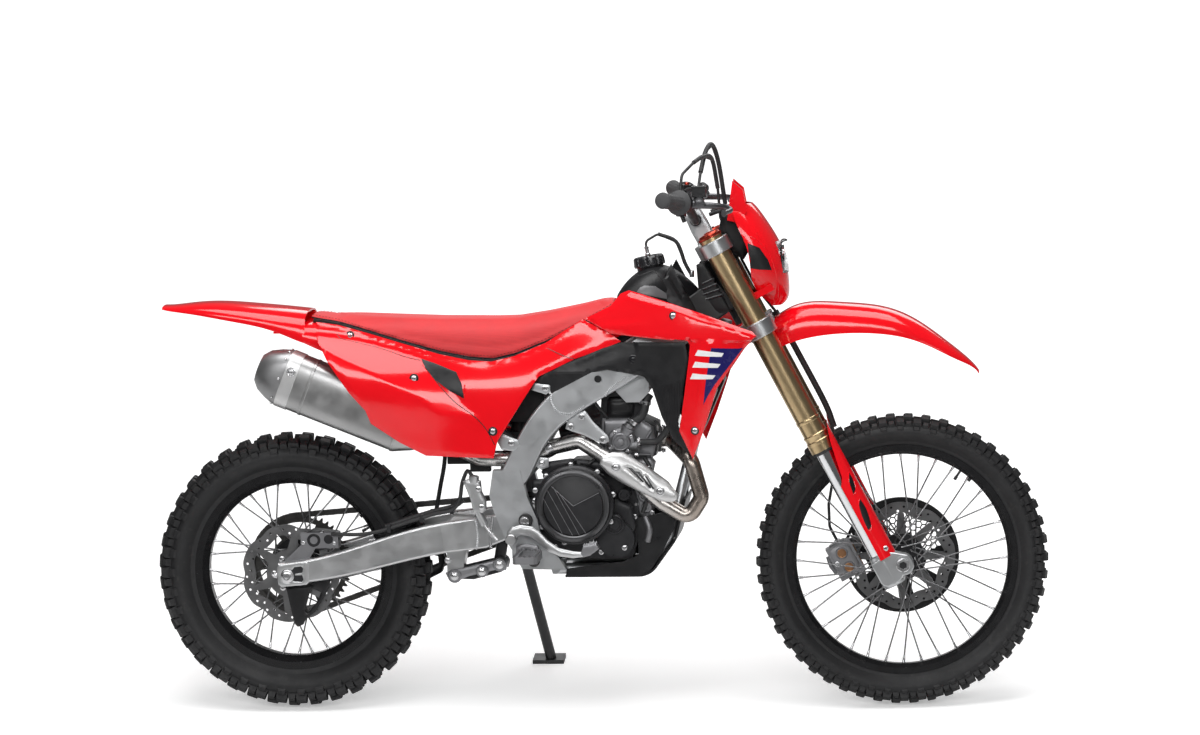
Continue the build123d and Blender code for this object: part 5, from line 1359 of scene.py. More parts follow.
body = [barrel((814, -74, 652), OUT,
               [(34, 0), (35, 3), (35, 12), (31, 16), (24, 17), (22, 24), (19, 26), (17, 25), (16, 20),
                (9, 20), (8, 26), (0.01, 27)]),
        barrel((826, -84, 674), (0.5, -0.1, 0.86),
               [(15, -12), (15, 8), (17, 9), (17, 14), (13, 15), (12, 24), (0.01, 24)]),
        barrel((796, -86, 640), (-0.7, -0.5, -0.5),
               [(11, -10), (11, 8), (8.5, 10), (8.5, 16), (0.01, 17)]),
        barrel((842, -82, 640), (0.9, -0.2, 0.1),
               [(12, -10), (12, 8), (14, 9), (14, 15), (9, 16), (0.01, 16)]),
        sheet([(780, 610), (792, 632), (830, 632), (846, 616), (838, 600), (800, 596)], level(-78),
              rolled(4, 7, 0, 2, 12), 14, 5)]
add("throttle_body", body, CAST, bevel=0.4)
add("throttle_body_screws",
    [bolt((814 + 27 * math.cos(a), -90, 652 + 27 * math.sin(a)), OUT, 3.4, 3, "socket")
     for a in (0.5, 2.1, 3.7, 5.3)]
    + [bolt((850, -82, 618), OUT, 4.4, 4), bolt((786, -80, 606), OUT, 4.4, 4)], STEEL)
hose = swept([(838, -88, 692), (848, -88, 702), (864, -88, 712), (872, -88, 728), (876, -86, 748),
              (884, -80, 764)], 10.5)
hose2 = swept([(850, -84, 648), (872, -88, 650), (900, -90, 652), (916, -96, 668), (934, -104, 690),
               (952, -112, 700)], 8)
small_lines = [swept([(782, -76, 706), (772, -84, 724), (756, -92, 742), (748, -100, 770)], 3.2, 12),
               swept([(896, -80, 700), (908, -92, 690), (912, -96, 660), (906, -90, 628)], 3.4, 12),
               swept([(868, -70, 610), (880, -80, 590), (884, -84, 560), (876, -86, 520),
                      (862, -86, 480)], 5, 14),
               swept([(770, -70, 620), (752, -92, 612), (736, -100, 600)], 4, 12)]
add("engine_hoses", [hose, hose2, *small_lines], RUBBER)


def band(centre, way, radius, wide=9, thick=1.6):
    """A hose clamp with its screw."""
    strap = lathe([(radius, -wide / 2), (radius + thick, -wide / 2), (radius + thick, wide / 2),
                   (radius, wide / 2)], 36, True)
    screw = tube([(radius + 3.5, -7, 0), (radius + 3.5, 0, 0), (radius + 3.5, 8, 0)], 3.2, 12)
    ear = brick((radius + 3, 0, 0), (5, 7, wide * 0.9))
    return moved(merge(strap, screw, ear), aim(centre, way, 2.4))


add("engine_hose_clamps",
    [band((845, -88, 699), (0.6, 0, 0.75), 10.6), band((876, -86, 745), (0.15, 0, 1), 10.6),
     band((858, -85.5, 648.4), (1, -0.1, 0), 8.1, 7), band((944, -109, 696), (0.8, -0.4, 0.4), 8.1, 7)],
    STEEL)
cylinder = [sheet([(884, 560), (894, 600), (884, 612), (838, 606), (826, 570), (846, 470), (880, 450),
                   (892, 500)], level(-72), rolled(4, 8, 0, 2, 14), 12, 6),
            *[barrel((858 + 7 * i, -74, 545 - 26 * i), OUT,
                     [(13, 0), (13, 10), (11, 12), (7, 12), (6.4, 8), (0.01, 8)], 28)
              for i in range(3)], swept([(868, -84, 470), (878, -90, 440), (872, -90, 410)], 8)]
add("pump_housing", cylinder, CAST, bevel=0.4)
add("pump_bolts",
    [bolt((x, -80, z), OUT, 4.6, 5)
     for x, z in ((880, 588), (842, 590), (846, 500), (884, 478), (838, 548))], STEEL)

# ------------------------------------------------ frame details
HANGER = [(684, 687), (690, 712), (706, 724), (732, 730), (752, 702), (786, 668), (788, 656), (776, 650),
          (758, 656), (726, 672), (702, 680)]
add("engine_hangers", [both(sheet(HANGER, level(-112), rolled(1.5, 5, 0), 6, 7))], FRAME_METAL)
spar_face = face_of("main_frame")
pair = [both(bolt((x, -112, z), OUT, 6.0, 6)) for x, z in ((724, 716), (697, 693), (773, 661))]
add("hanger_bolts", pair, STEEL)
TABS = [[(606, 783), (612, 799), (654, 797), (652, 778), (640, 772)],
        [(530, 679), (568, 664), (574, 650), (560, 636), (530, 640), (520, 660)],
        [(606, 620), (640, 616), (640, 594), (622, 588), (604, 600)]]
add("frame_tabs", [both(sheet(tab, level(-124), rolled(1.2, 4, 0), 8, 6)) for tab in TABS[:2]]
    + [sheet(TABS[2], level(-104), rolled(1.2, 4, 0), 8, 6)], FRAME_METAL)
add("tab_bolts", [both(bolt((x, -124, z), OUT, 6, 4.5, "socket")) for x, z in ((640, 787), (554, 656))]
    + [bolt((624, -104, 604), OUT, 6, 5)], STEEL)


def weld(height, points, wide=4.2, side=-1, step=4.2):
    """A row of overlapping weld ripples along a line."""
    path = smooth([(x, 0, z) for x, z in points], step)
    out = []
    for a, b in zip(path, path[1:]):
        x, z = a[0], a[2]
        y = height(x, z)
        if y is None:
            continue
        along = math.atan2(b[2] - a[2], b[0] - a[0])
        ripple = lathe([(wide, -0.6), (wide * 0.92, 0.6), (wide * 0.5, 1.5), (0.01, 1.8)], 10)
        ripple = (ripple[0] * array((0.62, 1, 1)), ripple[1])
        turn = aim((x, y, z), (0, side, 0)) @ Matrix.Rotation(-side * along, 4, "Z")
        out.append(moved(ripple, turn))
    return out


welds = weld(spar_face, [(676, 792), (656, 776), (653, 754), (668, 730), (700, 724), (734, 744)])
welds += weld(spar_face, [(838, 812), (812, 798), (792, 780), (780, 764)])
arm_face = face_of("swingarm")
welds += weld(arm_face, [(455, 478), (461, 458), (463, 430), (461, 404), (453, 390)])
add("weld_beads", [both(merge(*welds))], FRAME_METAL)
cap_rows = [(17, -122), (17, -128), (15, -130), (11, -130), (10.4, -127), (10.2, -133.4), (8.6, -134.6),
            (0.01, -134.6)]
add("pivot_caps",
    [both(turned_y(cap_rows[:5], (584, 0, 469), 40)),
     both(turned_y([(15, -121), (15, -126), (12, -128), (0.01, -128)], (601, 0, 371), 32))], RUBBER)
add("pivot_bolt_heads",
    [both(bolt((582, -132, 468), OUT, 9, 3.2, "socket")),
     both(bolt((601, -127, 371), OUT, 6.5, 4, "socket"))], STEEL)

# ------------------------------------------------ exhaust
SHIELD = [(766, 604), (772, 622), (796, 632), (822, 632), (872, 602), (930, 560), (952, 532), (950, 518),
          (938, 512), (910, 514), (868, 532), (820, 556), (784, 580)]


def shield_face(x, z):
    """Wraps the heat shield round the pipe: out at the pipe's middle, back at both edges."""
    mid = float(np.interp(x, [766, 812, 912, 952], [612, 595, 535, 520]))
    return -(139 + 0.02 * (x - 800)) + ((z - mid) / 24) ** 2 * 5


slots = [[(850, 588), (862, 585), (890, 548), (886, 545)],
         [(872, 578), (880, 573), (896, 545), (893, 542)],
         [(832, 597), (844, 594), (874, 562), (870, 559)]]
add("heat_shield", [sheet(SHIELD, shield_face, rolled(3.0, 7, 0, 1.0, 18), 1.8, 5, holes=slots)],
    SHIELD_METAL)
# A black sheet just behind the shield's slots: painted shade, so that the slots show dark.
add("heat_shield_slot_shade",
    [sheet([(840, 596), (868, 592), (902, 546), (880, 536), (846, 560)], shield_face, rolled(0, 1, -3.0),
           0.8, 7)], BLACK_METAL, slot="exhaust_steel")
shield_bolts = []
for x, z in ((806, 597), (911, 539)):
    shield_bolts.append(cup(lambda a, b: shield_face(a, b) - 0.4, x, z, 11, 6.6, tall=1.6))
    shield_bolts.append(bolt((x, shield_face(x, z) - 0.6, z), OUT, 5.2, 4, "socket"))
    shield_bolts.append(tube([(x, shield_face(x, z), z), (x, -130, z), (x, -118, z)], 6, 16))
add("heat_shield_bolts", shield_bolts, STEEL)
flange = [barrel((900, -22, 650), (1, 0, 0), [(19.5, 0), (31, 0), (31, 7), (27, 8), (20, 8)], 40),
          bolt((908, -22, 678), (1, 0, 0), 5, 6), bolt((908, -22, 622), (1, 0, 0), 5, 6)]
add("header_flange", flange, STEEL, slot="exhaust_steel")


def pipe_band(centre, way, radius, gap=0.2):
    """A clamp round a pipe, with its ears and screw."""
    strap = lathe([(radius + gap, -9), (radius + 1.8, -9), (radius + 2.3, -7), (radius + 2.3, 7),
                   (radius + 1.8, 9), (radius + gap, 9)], 44, True)
    screw = moved(bolt((0, 0, 0), (1, 0, 0), 4.5, 4), Matrix.Translation((radius + 8, 8, 0)))
    ears = merge(brick((radius + 6, 4, 0), (14, 3, 14)), brick((radius + 6, -4, 0), (14, 3, 14)))
    return moved(merge(strap, ears, screw), aim(centre, way, 1.0))


add("pipe_clamps",
    [pipe_band((640, -74, 637), (-0.8, 0, -0.45), 19),
     pipe_band((395, -84, 652), (-0.87, -0.15, 0.46), 19)], STEEL, bevel=0.3)
SIL_LOW, SIL_HIGH = Vector((346, -95, 678)), Vector((-58, -95, 843))
sil_way = (SIL_HIGH - SIL_LOW).normalized()
sil_up = Vector(OUT).cross(sil_way)
if sil_up.z < 0:
    sil_up = -sil_up
SIL_FRAME = Matrix((Vector(OUT), sil_up, sil_way)).transposed().to_4x4()
SIL_FRAME.translation = SIL_LOW
SIL_LENGTH = (SIL_HIGH - SIL_LOW).length


def ring_at(distance, wide, tall, corner, sides=64):
    """A rounded-rectangle section of the silencer, in its own frame."""
    out = []
    for i in range(sides):
        a = 2 * math.pi * i / sides
        c, s = math.cos(a), math.sin(a)
        power = 2 / corner
        out.append((wide * math.copysign(abs(c) ** power, c), tall * math.copysign(abs(s) ** power, s),
                    distance))
    return out


def tunnel(rows, open_start=False, open_end=False):
    """A skin through rows of points."""
    n = len(rows[0])
    verts = [p for row in rows for p in row]
    faces = [(r * n + i, r * n + (i + 1) % n, (r + 1) * n + (i + 1) % n, (r + 1) * n + i)
             for r in range(len(rows) - 1) for i in range(n)]
    if not open_start:
        faces.append(tuple(range(n))[::-1])
    if not open_end:
        faces.append(tuple(range((len(rows) - 1) * n, len(rows) * n)))
    return array(verts), faces


L = SIL_LENGTH
can = tunnel([ring_at(2, 30, 41, 3.2), ring_at(22, 40, 52, 3.2), ring_at(60, 50, 69, 3.4),
              ring_at(66, 50.4, 70, 3.4), ring_at(72, 49.6, 69, 3.4), ring_at(L - 96, 49.6, 69, 3.4)],
             open_end=True)
seam = [tunnel([ring_at(z, 50.0, 69.5, 3.4), ring_at(z + 1, 50.8, 70.4, 3.4),
                ring_at(z + 6, 50.8, 70.4, 3.4), ring_at(z + 7, 50.0, 69.5, 3.4)], True, True)
        for z in (62, 300)]
add("silencer_can", [moved(merge(can, *seam), SIL_FRAME)], CAN_METAL, replaces=["silencer"], angle=28)
end = tunnel([ring_at(L - 70, 49.4, 68.8, 3.4), ring_at(L - 62, 49.4, 68.8, 3.2),
              ring_at(L - 40, 47, 62, 2.6), ring_at(L - 16, 38, 50, 2.4), ring_at(L - 2, 29, 34, 2.2),
              ring_at(L - 1, 26, 28, 2.0), ring_at(L - 4, 22, 22, 2.0), ring_at(L - 60, 20.5, 20.5, 2.0)])
add("silencer_end_cap", [moved(end, SIL_FRAME)], END_METAL, angle=22)
strap = tunnel([ring_at(L - 99, 49.4, 68.8, 3.4), ring_at(L - 99, 51, 70.6, 3.4),
                ring_at(L - 68, 51, 70.6, 3.4), ring_at(L - 68, 49.4, 68.8, 3.4)], True, True)
add("silencer_band", [moved(strap, SIL_FRAME)], SHIELD_METAL, angle=30, bevel=0.6)
rivets = []
for i in range(10):
    x, y, z = ring_at(L - 60, 49.4, 68.8, 3.4, 10)[i]
    rivets.append(moved(lathe([(3.2, -0.5), (3.0, 0.8), (1.8, 1.7), (0.01, 1.9)], 12),
                        SIL_FRAME @ aim((x, y, z), (x, y, 0))))
rivets.append(moved(merge(lathe([(11, -1), (11, 1.2), (9, 2), (6.6, 1), (6.6, 0.6)], 28),
                          bolt((0, 0, 0.5), (0, 0, 1), 5, 4, "socket")),
                    SIL_FRAME @ aim((51.2, 26, L - 84), (1, 0, 0))))
add("silencer_rivets", rivets, STEEL)
add("silencer_hanger",
    [prism([(182, 776), (214, 762), (214, 880), (206, 888), (190, 888), (182, 868)], -73, -66),
     bolt((198, -73, 868), OUT, 6, 5)], BLACK_METAL, slot="frame_metal", bevel=0.8)

# ------------------------------------------------ swingarm, linkage and foot controls
AXLE_BLOCK = [(-20, 366), (46, 374), (52, 368), (52, 322), (46, 316), (-16, 311), (-23, 318), (-25, 358)]
block_slots = [[(16, 343), (36, 346), (38, 356), (34, 360), (18, 358), (13, 351)],
               [(16, 338), (36, 338), (38, 328), (34, 324), (18, 325), (13, 331)]]
add("axle_blocks",
    [both(sheet(AXLE_BLOCK, level(-120.5), rolled(1.4, 4, 0), 3, 6,
                holes=block_slots + [circle(0, REAR_RADIUS, 16, 24)]))], ALLOY_BRIGHT)
# Black plates in the block's slots, behind its axle hole and at the bottom of the axle end's bore: painted
# shade in these recesses.
add("axle_block_recess_shade",
    [both(prism([(10, 361), (40, 363), (42, 321), (10, 320)], -119.6, -118.8)),
     both(turned_y([(16.5, -119), (16.5, -119.8), (0.01, -119.8)], REAR_CENTRE, 24)),
     both(turned_y([(5.5, -126), (5.5, -128), (0.01, -128)], REAR_CENTRE, 24))], BLACK_METAL,
    slot="frame_metal")
nut = [turned_y([(16, -119), (16, -121.6), (15, -122), (12.5, -122)], REAR_CENTRE, 40),
       bolt((0, -122, 337), OUT, 13, 9, "hex", 1.15),
       turned_y([(8.6, -130), (8.6, -133), (5.8, -133), (5.6, -126), (0.01, -126)], REAR_CENTRE, 28)]
add("rear_axle_nuts", [both(merge(*nut))], STEEL, replaces=["rear_axle"])
add("rear_axle_shaft",
    [turned_y([(12.4, -124), (12.4, 124)], REAR_CENTRE, 32),
     turned_y([(18, 84), (18, 90.5)], REAR_CENTRE, 32)], STEEL)
adjuster = [both(merge(tube([(-24, -106, 338), (-31, -106, 337), (-38, -106, 336)], 4, 12),
                       moved(bolt((0, 0, 0), (0, 0, 1), 6, 6), aim((-28, -106, 337), (-1, 0, 0)))))]
add("chain_adjusters", adjuster, STEEL)
ARM = [(372, 328), (380, 312), (398, 307), (430, 320), (500, 336), (520, 334), (524, 350), (508, 362),
       (440, 346), (396, 336)]
link = [both(sheet(ARM, level(-30), rolled(1.6, 4, 0, 1.0, 9), 8, 6)),
        *[turned_y([(15, -34), (17, -32), (17, 32), (15, 34)], (x, 0, z), 32)
          for x, z in ((395, 321), (506, 348))],
        turned_y([(13, -40), (15, -38), (15, 38), (13, 40)], (463, 0, 333), 32)]
add("linkage_arms", link, CAST, slot="frame_metal")
add("linkage_bolts",
    [both(bolt((x, y, z), OUT, 8, 7)) for x, y, z in ((395, -34, 321), (463, -40, 333), (506, -34, 348))]
    + [both(bolt((391, -112, 372), OUT, 6, 4))], STEEL)
PEDAL = [(541, 444), (552, 456), (574, 461), (602, 457), (620, 446), (640, 424), (668, 405), (700, 398),
         (726, 396), (730, 386), (700, 382), (668, 386), (640, 398), (614, 422), (596, 434), (574, 438),
         (562, 430), (560, 416), (548, 412), (540, 424)]
pedal_parts = [sheet(PEDAL, lambda x, z: -152 - max(min((x - 600) * 0.1, 12), 0),
                     rolled(2.0, 5, 0, 1.2, 10), 8, 5),
               turned_y([(13, -122.5), (13, -160), (11, -162), (0.01, -162)], (551, 0, 427), 32)]
add("brake_pedal", pedal_parts, ALLOY_BRIGHT)
tip = [sheet([(722, 398), (728, 414), (758, 420), (766, 408), (744, 392), (728, 388)], level(-188),
             rolled(1, 3, 0), 26, 5)]
for i in range(6):
    for j in range(3):
        tip.append(moved(lathe([(3.0, 0), (2.4, 3), (0.3, 6)], 4),
                         aim((730 + 5.6 * i, -185 + 9 * j, 413 + 1.1 * i), (-0.1, 0, 1), 0.8)))
add("brake_pedal_tip", tip, CAST, slot="brushed_alloy", bevel=0.3)


def peg(side):
    """A footrest: a toothed frame on its arm."""
    out = [tube([(596, side * 122.5, 388), (596, side * 136, 388), (596, side * 150, 390)], 11, 20)]
    outline = [(569, -150), (620, -150), (626, -160), (626, -254), (618, -262), (574, -262), (567, -254),
               (567, -160)]
    hole = [(580, -162), (612, -162), (614, -170), (614, -246), (608, -252), (584, -252), (578, -246),
            (578, -170)]
    v, f = plate([outline, hole], 0, 17)
    v = np.column_stack([v[:, 0], v[:, 2] * -side, v[:, 1] + 383])
    out.append((v, f))
    for y in (-182, -206, -230):
        out.append(brick((596, -side * y, 390), (36, 5, 12)))
    teeth = [(x, y) for y in range(-256, -156, 12) for x in (571, 622)] + [
        (x, y) for x in (584, 596, 608) for y in (-156, -257)]
    for x, y in teeth:
        tooth = moved(lathe([(3.4, 0), (2.6, 3.2), (0.4, 5.6)], 4),
                      Matrix.Translation((x, -side * y, 399)))
        out.append(tooth)
    out.append(moved(bolt((0, 0, 0), (0, 0, 1), 6, 5), Matrix.Translation((580, side * 140, 398))))
    out.append(sheet([(560, 372), (560, 408), (584, 414), (612, 408), (616, 380), (596, 368)],
                     level(side * 134), rolled(2, 5, 0), 11, 7, side))
    return merge(*out)


add("footpegs", [peg(-1), peg(1)], CAST, slot="frame_metal", replaces=["foot_controls"], angle=30,
    bevel=0.5)
shift_lever = [swept([(690, 92, 405), (700, 120, 404), (712, 138, 402), (750, 148, 398), (790, 154, 395)],
                     6.5, 16),
               turned_y([(9, 146), (10, 148), (10, 186), (8, 190), (0.01, 190)], (800, 0, 395), 24),
               turned_y([(12, 84.5), (12, 98), (9, 99), (0.01, 99)], (690, 0, 405), 28)]
add("shift_lever", shift_lever, CAST, slot="brushed_alloy")
MASTER = [(436, 566), (452, 572), (478, 566), (480, 540), (490, 520), (490, 496), (478, 486), (460, 488),
          (454, 520), (444, 548)]
master = [sheet(MASTER, level(-138), rolled(2.5, 5, 0, 2, 12), 14, 5),
          tube([(470, -132, 492), (478, -132, 476), (486, -132, 460)], 9, 18),
          barrel((462, -132, 566), (0.1, 0, 1), [(11, -4), (12, 0), (12, 12), (9, 14), (0.01, 14)], 28)]
add("rear_master_cylinder", master, ALLOY_BRIGHT, bevel=0.3)
add("rear_master_rod",
    [tube([(486, -132, 460), (500, -136, 440), (516, -142, 424)], 4, 12),
     tube([(500, -136, 440), (503, -137, 436), (506, -138, 432)], 6, 6),
     bolt((474, -139, 548), OUT, 5, 4, "socket"), bolt((480, -139, 504), OUT, 5, 4, "socket"),
     swept([(504, -130, 480), (500, -130, 450), (497, -130, 420), (500, -132, 404)], 4, 12)], STEEL)
add("rear_brake_hose",
    [swept([(458, -130, 578), (446, -122, 590), (432, -118, 560), (424, -114, 520), (404, -112, 494),
            (355, -111, 483), (302, -110, 467), (228, -109, 444), (179, -108, 436), (127, -103, 436),
            (108, -96, 436)], 4.6, 14),
     swept([(430, -96, 516), (404, -98, 500), (355, -98, 488), (302, -98, 472), (240, -97, 452)], 6.5,
           14)], RUBBER)
add("rear_hose_clips",
    [brick((x, -104, z), (10, 22, 20)) for x, z in ((404, 494), (330, 474), (250, 450))], BLACK_METAL,
    bevel=1.5)
GUIDE = [(280, 320), (292, 372), (318, 384), (352, 378), (360, 352), (350, 316), (318, 300), (292, 304)]
GUIDE_HOLE = [(300, 352), (318, 362), (342, 356), (344, 334), (322, 324), (302, 332)]
add("chain_guide",
    [sheet(GUIDE, level(88), rolled(1.5, 4, 0), 5, 8, 1, [GUIDE_HOLE]),
     sheet(GUIDE, level(66), rolled(1.5, 4, 0), 5, 8, 1, [GUIDE_HOLE]),
     tube([(330, 64, 390), (330, 76, 392), (330, 90, 394)], 9, 16)], BLACK)
CATCH = [(-12, 308), (-8, 296), (8, 216), (16, 208), (30, 214), (36, 226), (62, 246), (86, 286),
         (98, 310), (100, 340), (58, 344), (54, 308)]
add("rear_disc_shield",
    [sheet(CATCH, level(-91), rolled(2, 6, 0, 1, 20), 5, 7,
           holes=[[(50, 300), (60, 300), (76, 292), (66, 270), (40, 240), (34, 246)]])], BLACK,
    replaces=["rear_disc_guard"])
caliper = [sheet([(26, 402), (30, 432), (60, 446), (112, 440), (124, 424), (118, 404), (70, 394)],
                 level(-88), rolled(3, 7, 0, 2, 14), 30, 6),
           barrel((62, -88, 420), OUT, [(17, -3), (17, 2), (15, 4), (10, 4), (9, 2), (0.01, 2)], 32),
           barrel((98, -88, 422), OUT, [(13, -3), (13, 1), (11, 3), (0.01, 3)], 28)]
add("rear_caliper_body", caliper, DARK_CAST, bevel=0.4)
add("rear_caliper_bolts",
    [bolt((36, -88, 414), OUT, 5, 4), bolt((112, -88, 412), OUT, 5, 4),
     bolt((82, -88, 438), (0, 0, 1), 5, 4)], STEEL)

# ------------------------------------------------ fork, front brake and lamp
def on_fork(parts):
    """Parts from the fork's own frame."""
    return [moved(part, FORK) for part in parts]


def fork_lathe(rows, side, sides=48):
    """A part turned about a leg of the fork."""
    return moved(lathe(rows, sides), LEG[side])


gold, rubber_rings, caps = [], [], []
for side in (-1, 1):
    gold.append(fork_lathe([(29.1, 340), (29.8, 344), (30.6, 346), (31.4, 350), (31.4, 356), (29.6, 358),
                            (29.6, 366), (31.0, 368), (31.0, 372), (29.3, 374)], side, 56))
    gold.append(fork_lathe([(29.1, 404), (30.2, 406), (30.2, 412), (29.1, 414)], side, 56))
    rubber_rings.append(fork_lathe([(24.8, 322), (27.5, 322.5), (29.6, 326), (30.6, 334), (30.4, 340),
                                    (29, 342)], side, 56))
    caps.append(fork_lathe([(28.6, 900), (30.5, 902), (30.5, 906), (27, 908), (25, 912), (19, 912.6),
                            (18, 910), (9, 910), (8, 914), (0.01, 914.4)], side, 48))
    caps.append(moved(bolt((0, 0, 0), (0, 0, 1), 11, 6, "hex", 1.05),
                      FORK @ Matrix.Translation((LEG_AHEAD, LEG_OUT * side, 909))))
add_to_fork("fork_tube_bands", gold, GOLD)
add_to_fork("fork_wipers", rubber_rings, RUBBER)
add_to_fork("fork_caps", caps, ANODISED_RED)
pinch = []
for side in (-1, 1):
    for low, high in ((636, 674), (858, 892)):
        for z in (low + 9, high - 9):
            pinch.append(moved(bolt((0, 0, 0), (1, 0, 0), 5.0, 4, "socket"),
                               FORK @ Matrix.Translation((50, side * 78, z))))
        lug = brick((44, side * 78, (low + high) / 2), (26, 16, high - low - 3))
        pinch.append(moved(lug, FORK))
        rim_low = lathe([(38.2, low + 0.5), (39.2, low + 1.6), (39.2, high - 1.6), (38.2, high - 0.5)],
                        48)
        pinch.append(moved(rim_low, LEG[side]))
add_to_fork("clamp_rings", pinch, CLAMP_METAL, bevel=0.5)
add_to_fork("stem_nut",
            [moved(merge(lathe([(20, 892), (20, 898), (17, 900), (9, 900), (8, 903), (0.01, 903)], 40),
                         moved(bolt((0, 0, 0), (0, 0, 1), 15, 7, "hex", 1.1),
                               Matrix.Translation((0, 0, 897)))), FORK)], STEEL)
mounts = []
for side in (-1, 1):
    body = sheet([(-16, 893), (-17, 930), (-14, 972), (-6, 978), (18, 978), (26, 972), (28, 930),
                  (27, 893)], level(0), rolled(1.2, 4, 0), 26, 8)
    v, f = body
    v = v + array((0, side * 34 - 13, 0))
    mounts.append(moved((v, f), FORK))
    for x in (-9, 21):
        mounts.append(moved(bolt((0, 0, 0), (0, 0, 1), 4.6, 5, "socket"),
                            FORK @ Matrix.Translation((x, side * 34, 977))))
add_to_fork("bar_mounts", mounts, CLAMP_METAL, bevel=0.6)

guard_face = or_else(face_of("fork_guards", -1, STEER), -141.0)

GUARD_SLOTS = [[(1352, 575), (1361, 560), (1368, 534), (1362, 522), (1352, 552)],
               [(1378, 512), (1394, 484), (1404, 446), (1396, 436), (1380, 472), (1374, 500)]]
add_to_fork("guard_slots",
            [both(sheet(slot, guard_face, rolled(0.3, 2, 0.5), 0.8, 4)) for slot in GUARD_SLOTS], BLACK)
add_to_fork("guard_rims",
            [both(line_on(guard_face, slot + slot[:1], 1.0, lift=0.3)) for slot in GUARD_SLOTS], RED)
add_to_fork("guard_screws", [both(bolt((1436, guard_face(1436, 392) - 0.5, 392), OUT, 5, 4, "socket"))],
            STEEL)
lug = []
for side in (-1, 1):
    face = side * 136.2
    steps = [(AXLE_AHEAD, face + side * out, 0) for out in (-2, 1.2, 1.4)]
    lug.append(moved(tube(steps, 22, 40), FORK))
    ring = lathe([(27.2, -24), (28, -22), (28, 30), (27, 33), (25, 34.5)], 48)
    lug.append(moved(ring, LEG[side]))
add_to_fork("axle_lug_rings", lug, CLAMP_METAL, bevel=0.6)
axle_end = [(16.5, 0), (16.5, 6.4), (15, 7.4), (10.4, 7.4), (10.4, 2), (0.01, 2)]
add_to_fork("front_axle_ends",
            [moved(barrel((AXLE_AHEAD, side * 137.6, 0), (0, side, 0), axle_end, 40), FORK)
             for side in (-1, 1)]
            + [moved(barrel((AXLE_AHEAD, side * 137.7, 0), (0, side, 0),
                            [(10.6, 2.4), (10.6, 7.4), (16.2, 7.5)], 6, True), FORK)
               for side in (-1, 1)], STEEL)
add_to_fork("axle_pinch_bolts",
            [moved(bolt((46 + 22 * i, side * 120, -26), (0, 0, -1), 4.6, 4, "socket"), FORK)
             for side in (-1, 1) for i in range(2)], STEEL)


def hexes(x0, z0, x1, z1, size, web, keep):
    """Centres and outlines of a honeycomb's holes."""
    out = []
    dx, dz = size * math.sqrt(3), size * 1.5
    rows = int((z1 - z0) / dz) + 1
    for r in range(rows):
        for c in range(int((x1 - x0) / dx) + 1):
            x, z = x0 + c * dx + (r % 2) * dx / 2, z0 + r * dz
            if keep(x, z):
                out.append([(x + (size - web) * math.sin(math.pi * k / 3),
                             z + (size - web) * math.cos(math.pi * k / 3)) for k in range(6)])
    return out


def guard_keep(x, z):
    """Where the disc guard has its honeycomb."""
    r = math.hypot(x - AXLE_AHEAD, z)
    return 54 < r < 108 and not (x < -12 and -20 < z < 118) and z > -24


outer = circle(AXLE_AHEAD, 0, 137, 96)
notch = [p for p in outer if not (p[0] < -24 and 0 < p[1] < 108)]
cut = [(-24, 108), (-24, 0)]
first = min(range(len(notch)), key=lambda i: math.hypot(notch[i][0] + 24, notch[i][1] - 108)
            + (notch[i][1] < 60) * 99)
notch = notch[:first + 1] + cut + notch[first + 1:]
mesh_holes = hexes(-60, -30, 170, 112, 8.4, 1.5, guard_keep)
slots = []
for a0 in (-2.5, -1.75, -1.0):
    arc = np.linspace(a0, a0 + 0.55, 7)
    slots.append([polar(108, a, AXLE_AHEAD) for a in arc] + [polar(62, a, AXLE_AHEAD) for a in arc[::-1]])
guard = plate([notch, circle(AXLE_AHEAD, 0, 21, 32), *mesh_holes, *slots], 71.4, 75.2)
v, f = lathe([(137, 71), (139.5, 71), (139.5, 84), (137.5, 84.5), (136, 77), (132, 75.6)], 96, True)
band_part = (np.column_stack([v[:, 0] + AXLE_AHEAD, v[:, 2], v[:, 1]]), f)
boss = turned_y([(40, 75), (38, 79), (22, 79)], (AXLE_AHEAD, 0, 0), 40)
add_to_fork("front_disc_shield", on_fork([guard, band_part, boss]), BLACK, replaces=["front_disc_guard"],
            angle=30)
CALIPER = [(-98, 22), (-98, 88), (-86, 98), (-50, 98), (-36, 84), (-34, 30), (-48, 14), (-84, 12)]
cal = [sheet(CALIPER, level(42), rolled(4, 8, 0, 2, 16), 10, 7),
       sheet(CALIPER, level(92), rolled(4, 8, 0, 2, 16), 10, 7, 1),
       *[barrel((-66, 41, z), OUT, [(15, -6), (15, 0), (13, 3), (0.01, 3)], 32) for z in (36, 74)],
       tube([(-100, 60, 34), (-104, 60, 56), (-100, 60, 80)], 6, 14), brick((-66, 66, 99), (40, 30, 5))]
add_to_fork("front_caliper_body", on_fork(cal), CAST, bevel=0.5)
add_to_fork("front_caliper_pistons",
            on_fork([barrel((-66, 37.6, z), OUT, [(11, -2), (11, 1.4), (9.6, 2), (8, 0.8), (0.01, 0.8)],
                            28) for z in (36, 74)]
                    + [brick((-40, 56, 36), (16, 6, 24)), brick((-40, 56, 72), (16, 6, 24))]), BRONZE,
            bevel=0.4)
add_to_fork("front_caliper_bolts",
            on_fork([bolt((-64, 88, 98), (0, 0, 1), 8, 6), bolt((-48, 92, 88), (0, 1, 0), 6, 5),
                     bolt((-48, 92, 54), (0, 1, 0), 6, 5), bolt((-88, 41, 55), OUT, 5, 5)]), STEEL)
hose_clips = [moved(lathe([(4.0, -5), (6.2, -5), (6.2, 5), (4.0, 5)], 20, True),
                    FORK @ aim((67, 103.6, z), (0, -0.03, 1))) for z in (470, 590)]
add_to_fork("brake_hose_clips", hose_clips, BLACK)

mask_face = or_else(face_of("headlight_mask", -1, STEER), -104.0)

